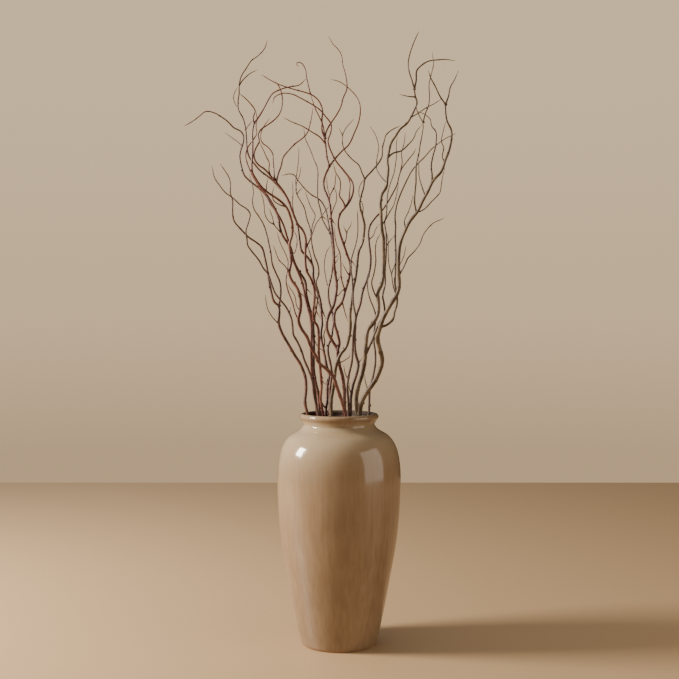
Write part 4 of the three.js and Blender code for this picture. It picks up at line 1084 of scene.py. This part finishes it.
winding_rod = winding_rod_tree()
bud_shape = bud_template()
for number, stem in enumerate(STEMS):
    piece = grown_stem(stem, winding_rod, bud_shape, BARKS[stem["bark"]], number)
    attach(piece, "root")
    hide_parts(stem["name"])
bpy.data.objects.remove(bud_shape)

# ---- floor, light and camera --------------------------------------------------------------------

FLOOR_REACH = 2.24  # to the left, the right and the back
FLOOR_FRONT = -4
ROOM_GLOW = 0.96
WINDOW_SIDE = (-0.75, 0.0, 0.66)  # the way from the vase to the brightest part of the room
ROOM_SHADES = {"dark": "33271b", "bright": "ece5da"}
WALL_LIGHT = 1.46
WALL_RISE = {"From Min": -0.12, "From Max": 0.2}  # from just below the horizon upwards
# The wall is a backdrop seen by camera rays only; its darkening towards the floor is painted shade.
WALL_PAINTED_SHADING = [(0.0, "a88e6e"), (0.35, "bca281"), (1.0, "c6ad8b")]
CAMERA_ACROSS = 0.0011
CAMERA_TILT = math.radians(90 - 1.17)
CAMERA_LENS = 56.3

floor = mesh_object(
    "floor",
    [
        (-FLOOR_REACH, FLOOR_FRONT, 0),
        (FLOOR_REACH, FLOOR_FRONT, 0),
        (FLOOR_REACH, FLOOR_REACH, 0),
        (-FLOOR_REACH, FLOOR_REACH, 0),
    ],
    [(0, 1, 2, 3)],
)
floor.data.materials.append(plain_matt("pale_floor", "ae916d", roughness=0.5))

world = bpy.data.worlds.new("studio")
world.use_nodes = True
room = world.node_tree
room.nodes.clear()
direction = add(room, "ShaderNodeTexCoord").outputs["Generated"]
towards_window = add(
    room, "ShaderNodeVectorMath", {0: direction, 1: WINDOW_SIDE}, operation="DOT_PRODUCT"
)
side = add(
    room,
    "ShaderNodeMapRange",
    {"Value": towards_window.outputs["Value"], "From Min": 0.0, "From Max": 0.9},
    interpolation_type="SMOOTHSTEP",
)
glow = add(
    room,
    "ShaderNodeMix",
    {"Factor": side, 6: linear(ROOM_SHADES["dark"]), 7: linear(ROOM_SHADES["bright"])},
    data_type="RGBA",
)
lighting = add(room, "ShaderNodeBackground", {"Color": glow.outputs[2], "Strength": ROOM_GLOW})
# The wall behind the vase, for camera rays only, painted darker towards the floor as shade.
upward = add(room, "ShaderNodeSeparateXYZ", {0: direction}).outputs["Z"]
rise = add(room, "ShaderNodeMapRange", {"Value": upward, **WALL_RISE})
wall_shade = add(room, "ShaderNodeValToRGB", {0: rise}, stops=WALL_PAINTED_SHADING)
wall = add(room, "ShaderNodeBackground", {"Color": wall_shade, "Strength": WALL_LIGHT})
seen = add(room, "ShaderNodeLightPath").outputs["Is Camera Ray"]
both = add(room, "ShaderNodeMixShader", {0: seen, 1: lighting, 2: wall})
add(room, "ShaderNodeOutputWorld", {"Surface": both})
bpy.context.scene.world = world


def soft_light(name, place, target, width, height, power, code):
    """A rectangular soft light at place that faces target."""
    data = bpy.data.lights.new(name, "AREA")
    data.shape = "RECTANGLE"
    data.size = width
    data.size_y = height
    data.energy = power
    data.color = linear(code)[:3]
    made = bpy.data.objects.new(name, data)
    made.location = place
    made.rotation_euler = (Vector(target) - Vector(place)).to_track_quat("-Z", "Y").to_euler()
    bpy.context.scene.collection.objects.link(made)


soft_light(
    "key_window",
    place=(-2.33, -0.17, 1.49),
    target=(0, 0, 0.45),
    width=0.65,
    height=0.85,
    power=192,
    code="fff5e8",
)
soft_light(
    "side_window",
    place=(2.4, -1.0, 1.08),
    target=(0, 0, 0.6),
    width=2.0,
    height=2.2,
    power=38,
    code="ffeedb",
)

camera_data = bpy.data.cameras.new("camera")
camera_data.sensor_width = 36
camera_data.lens = CAMERA_LENS
camera = bpy.data.objects.new("camera", camera_data)
camera.location = (CAMERA_ACROSS, EYE["y"] * MM, EYE["z"] * MM)
camera.rotation_euler = (CAMERA_TILT, 0, 0)
bpy.context.scene.collection.objects.link(camera)
bpy.context.scene.camera = camera
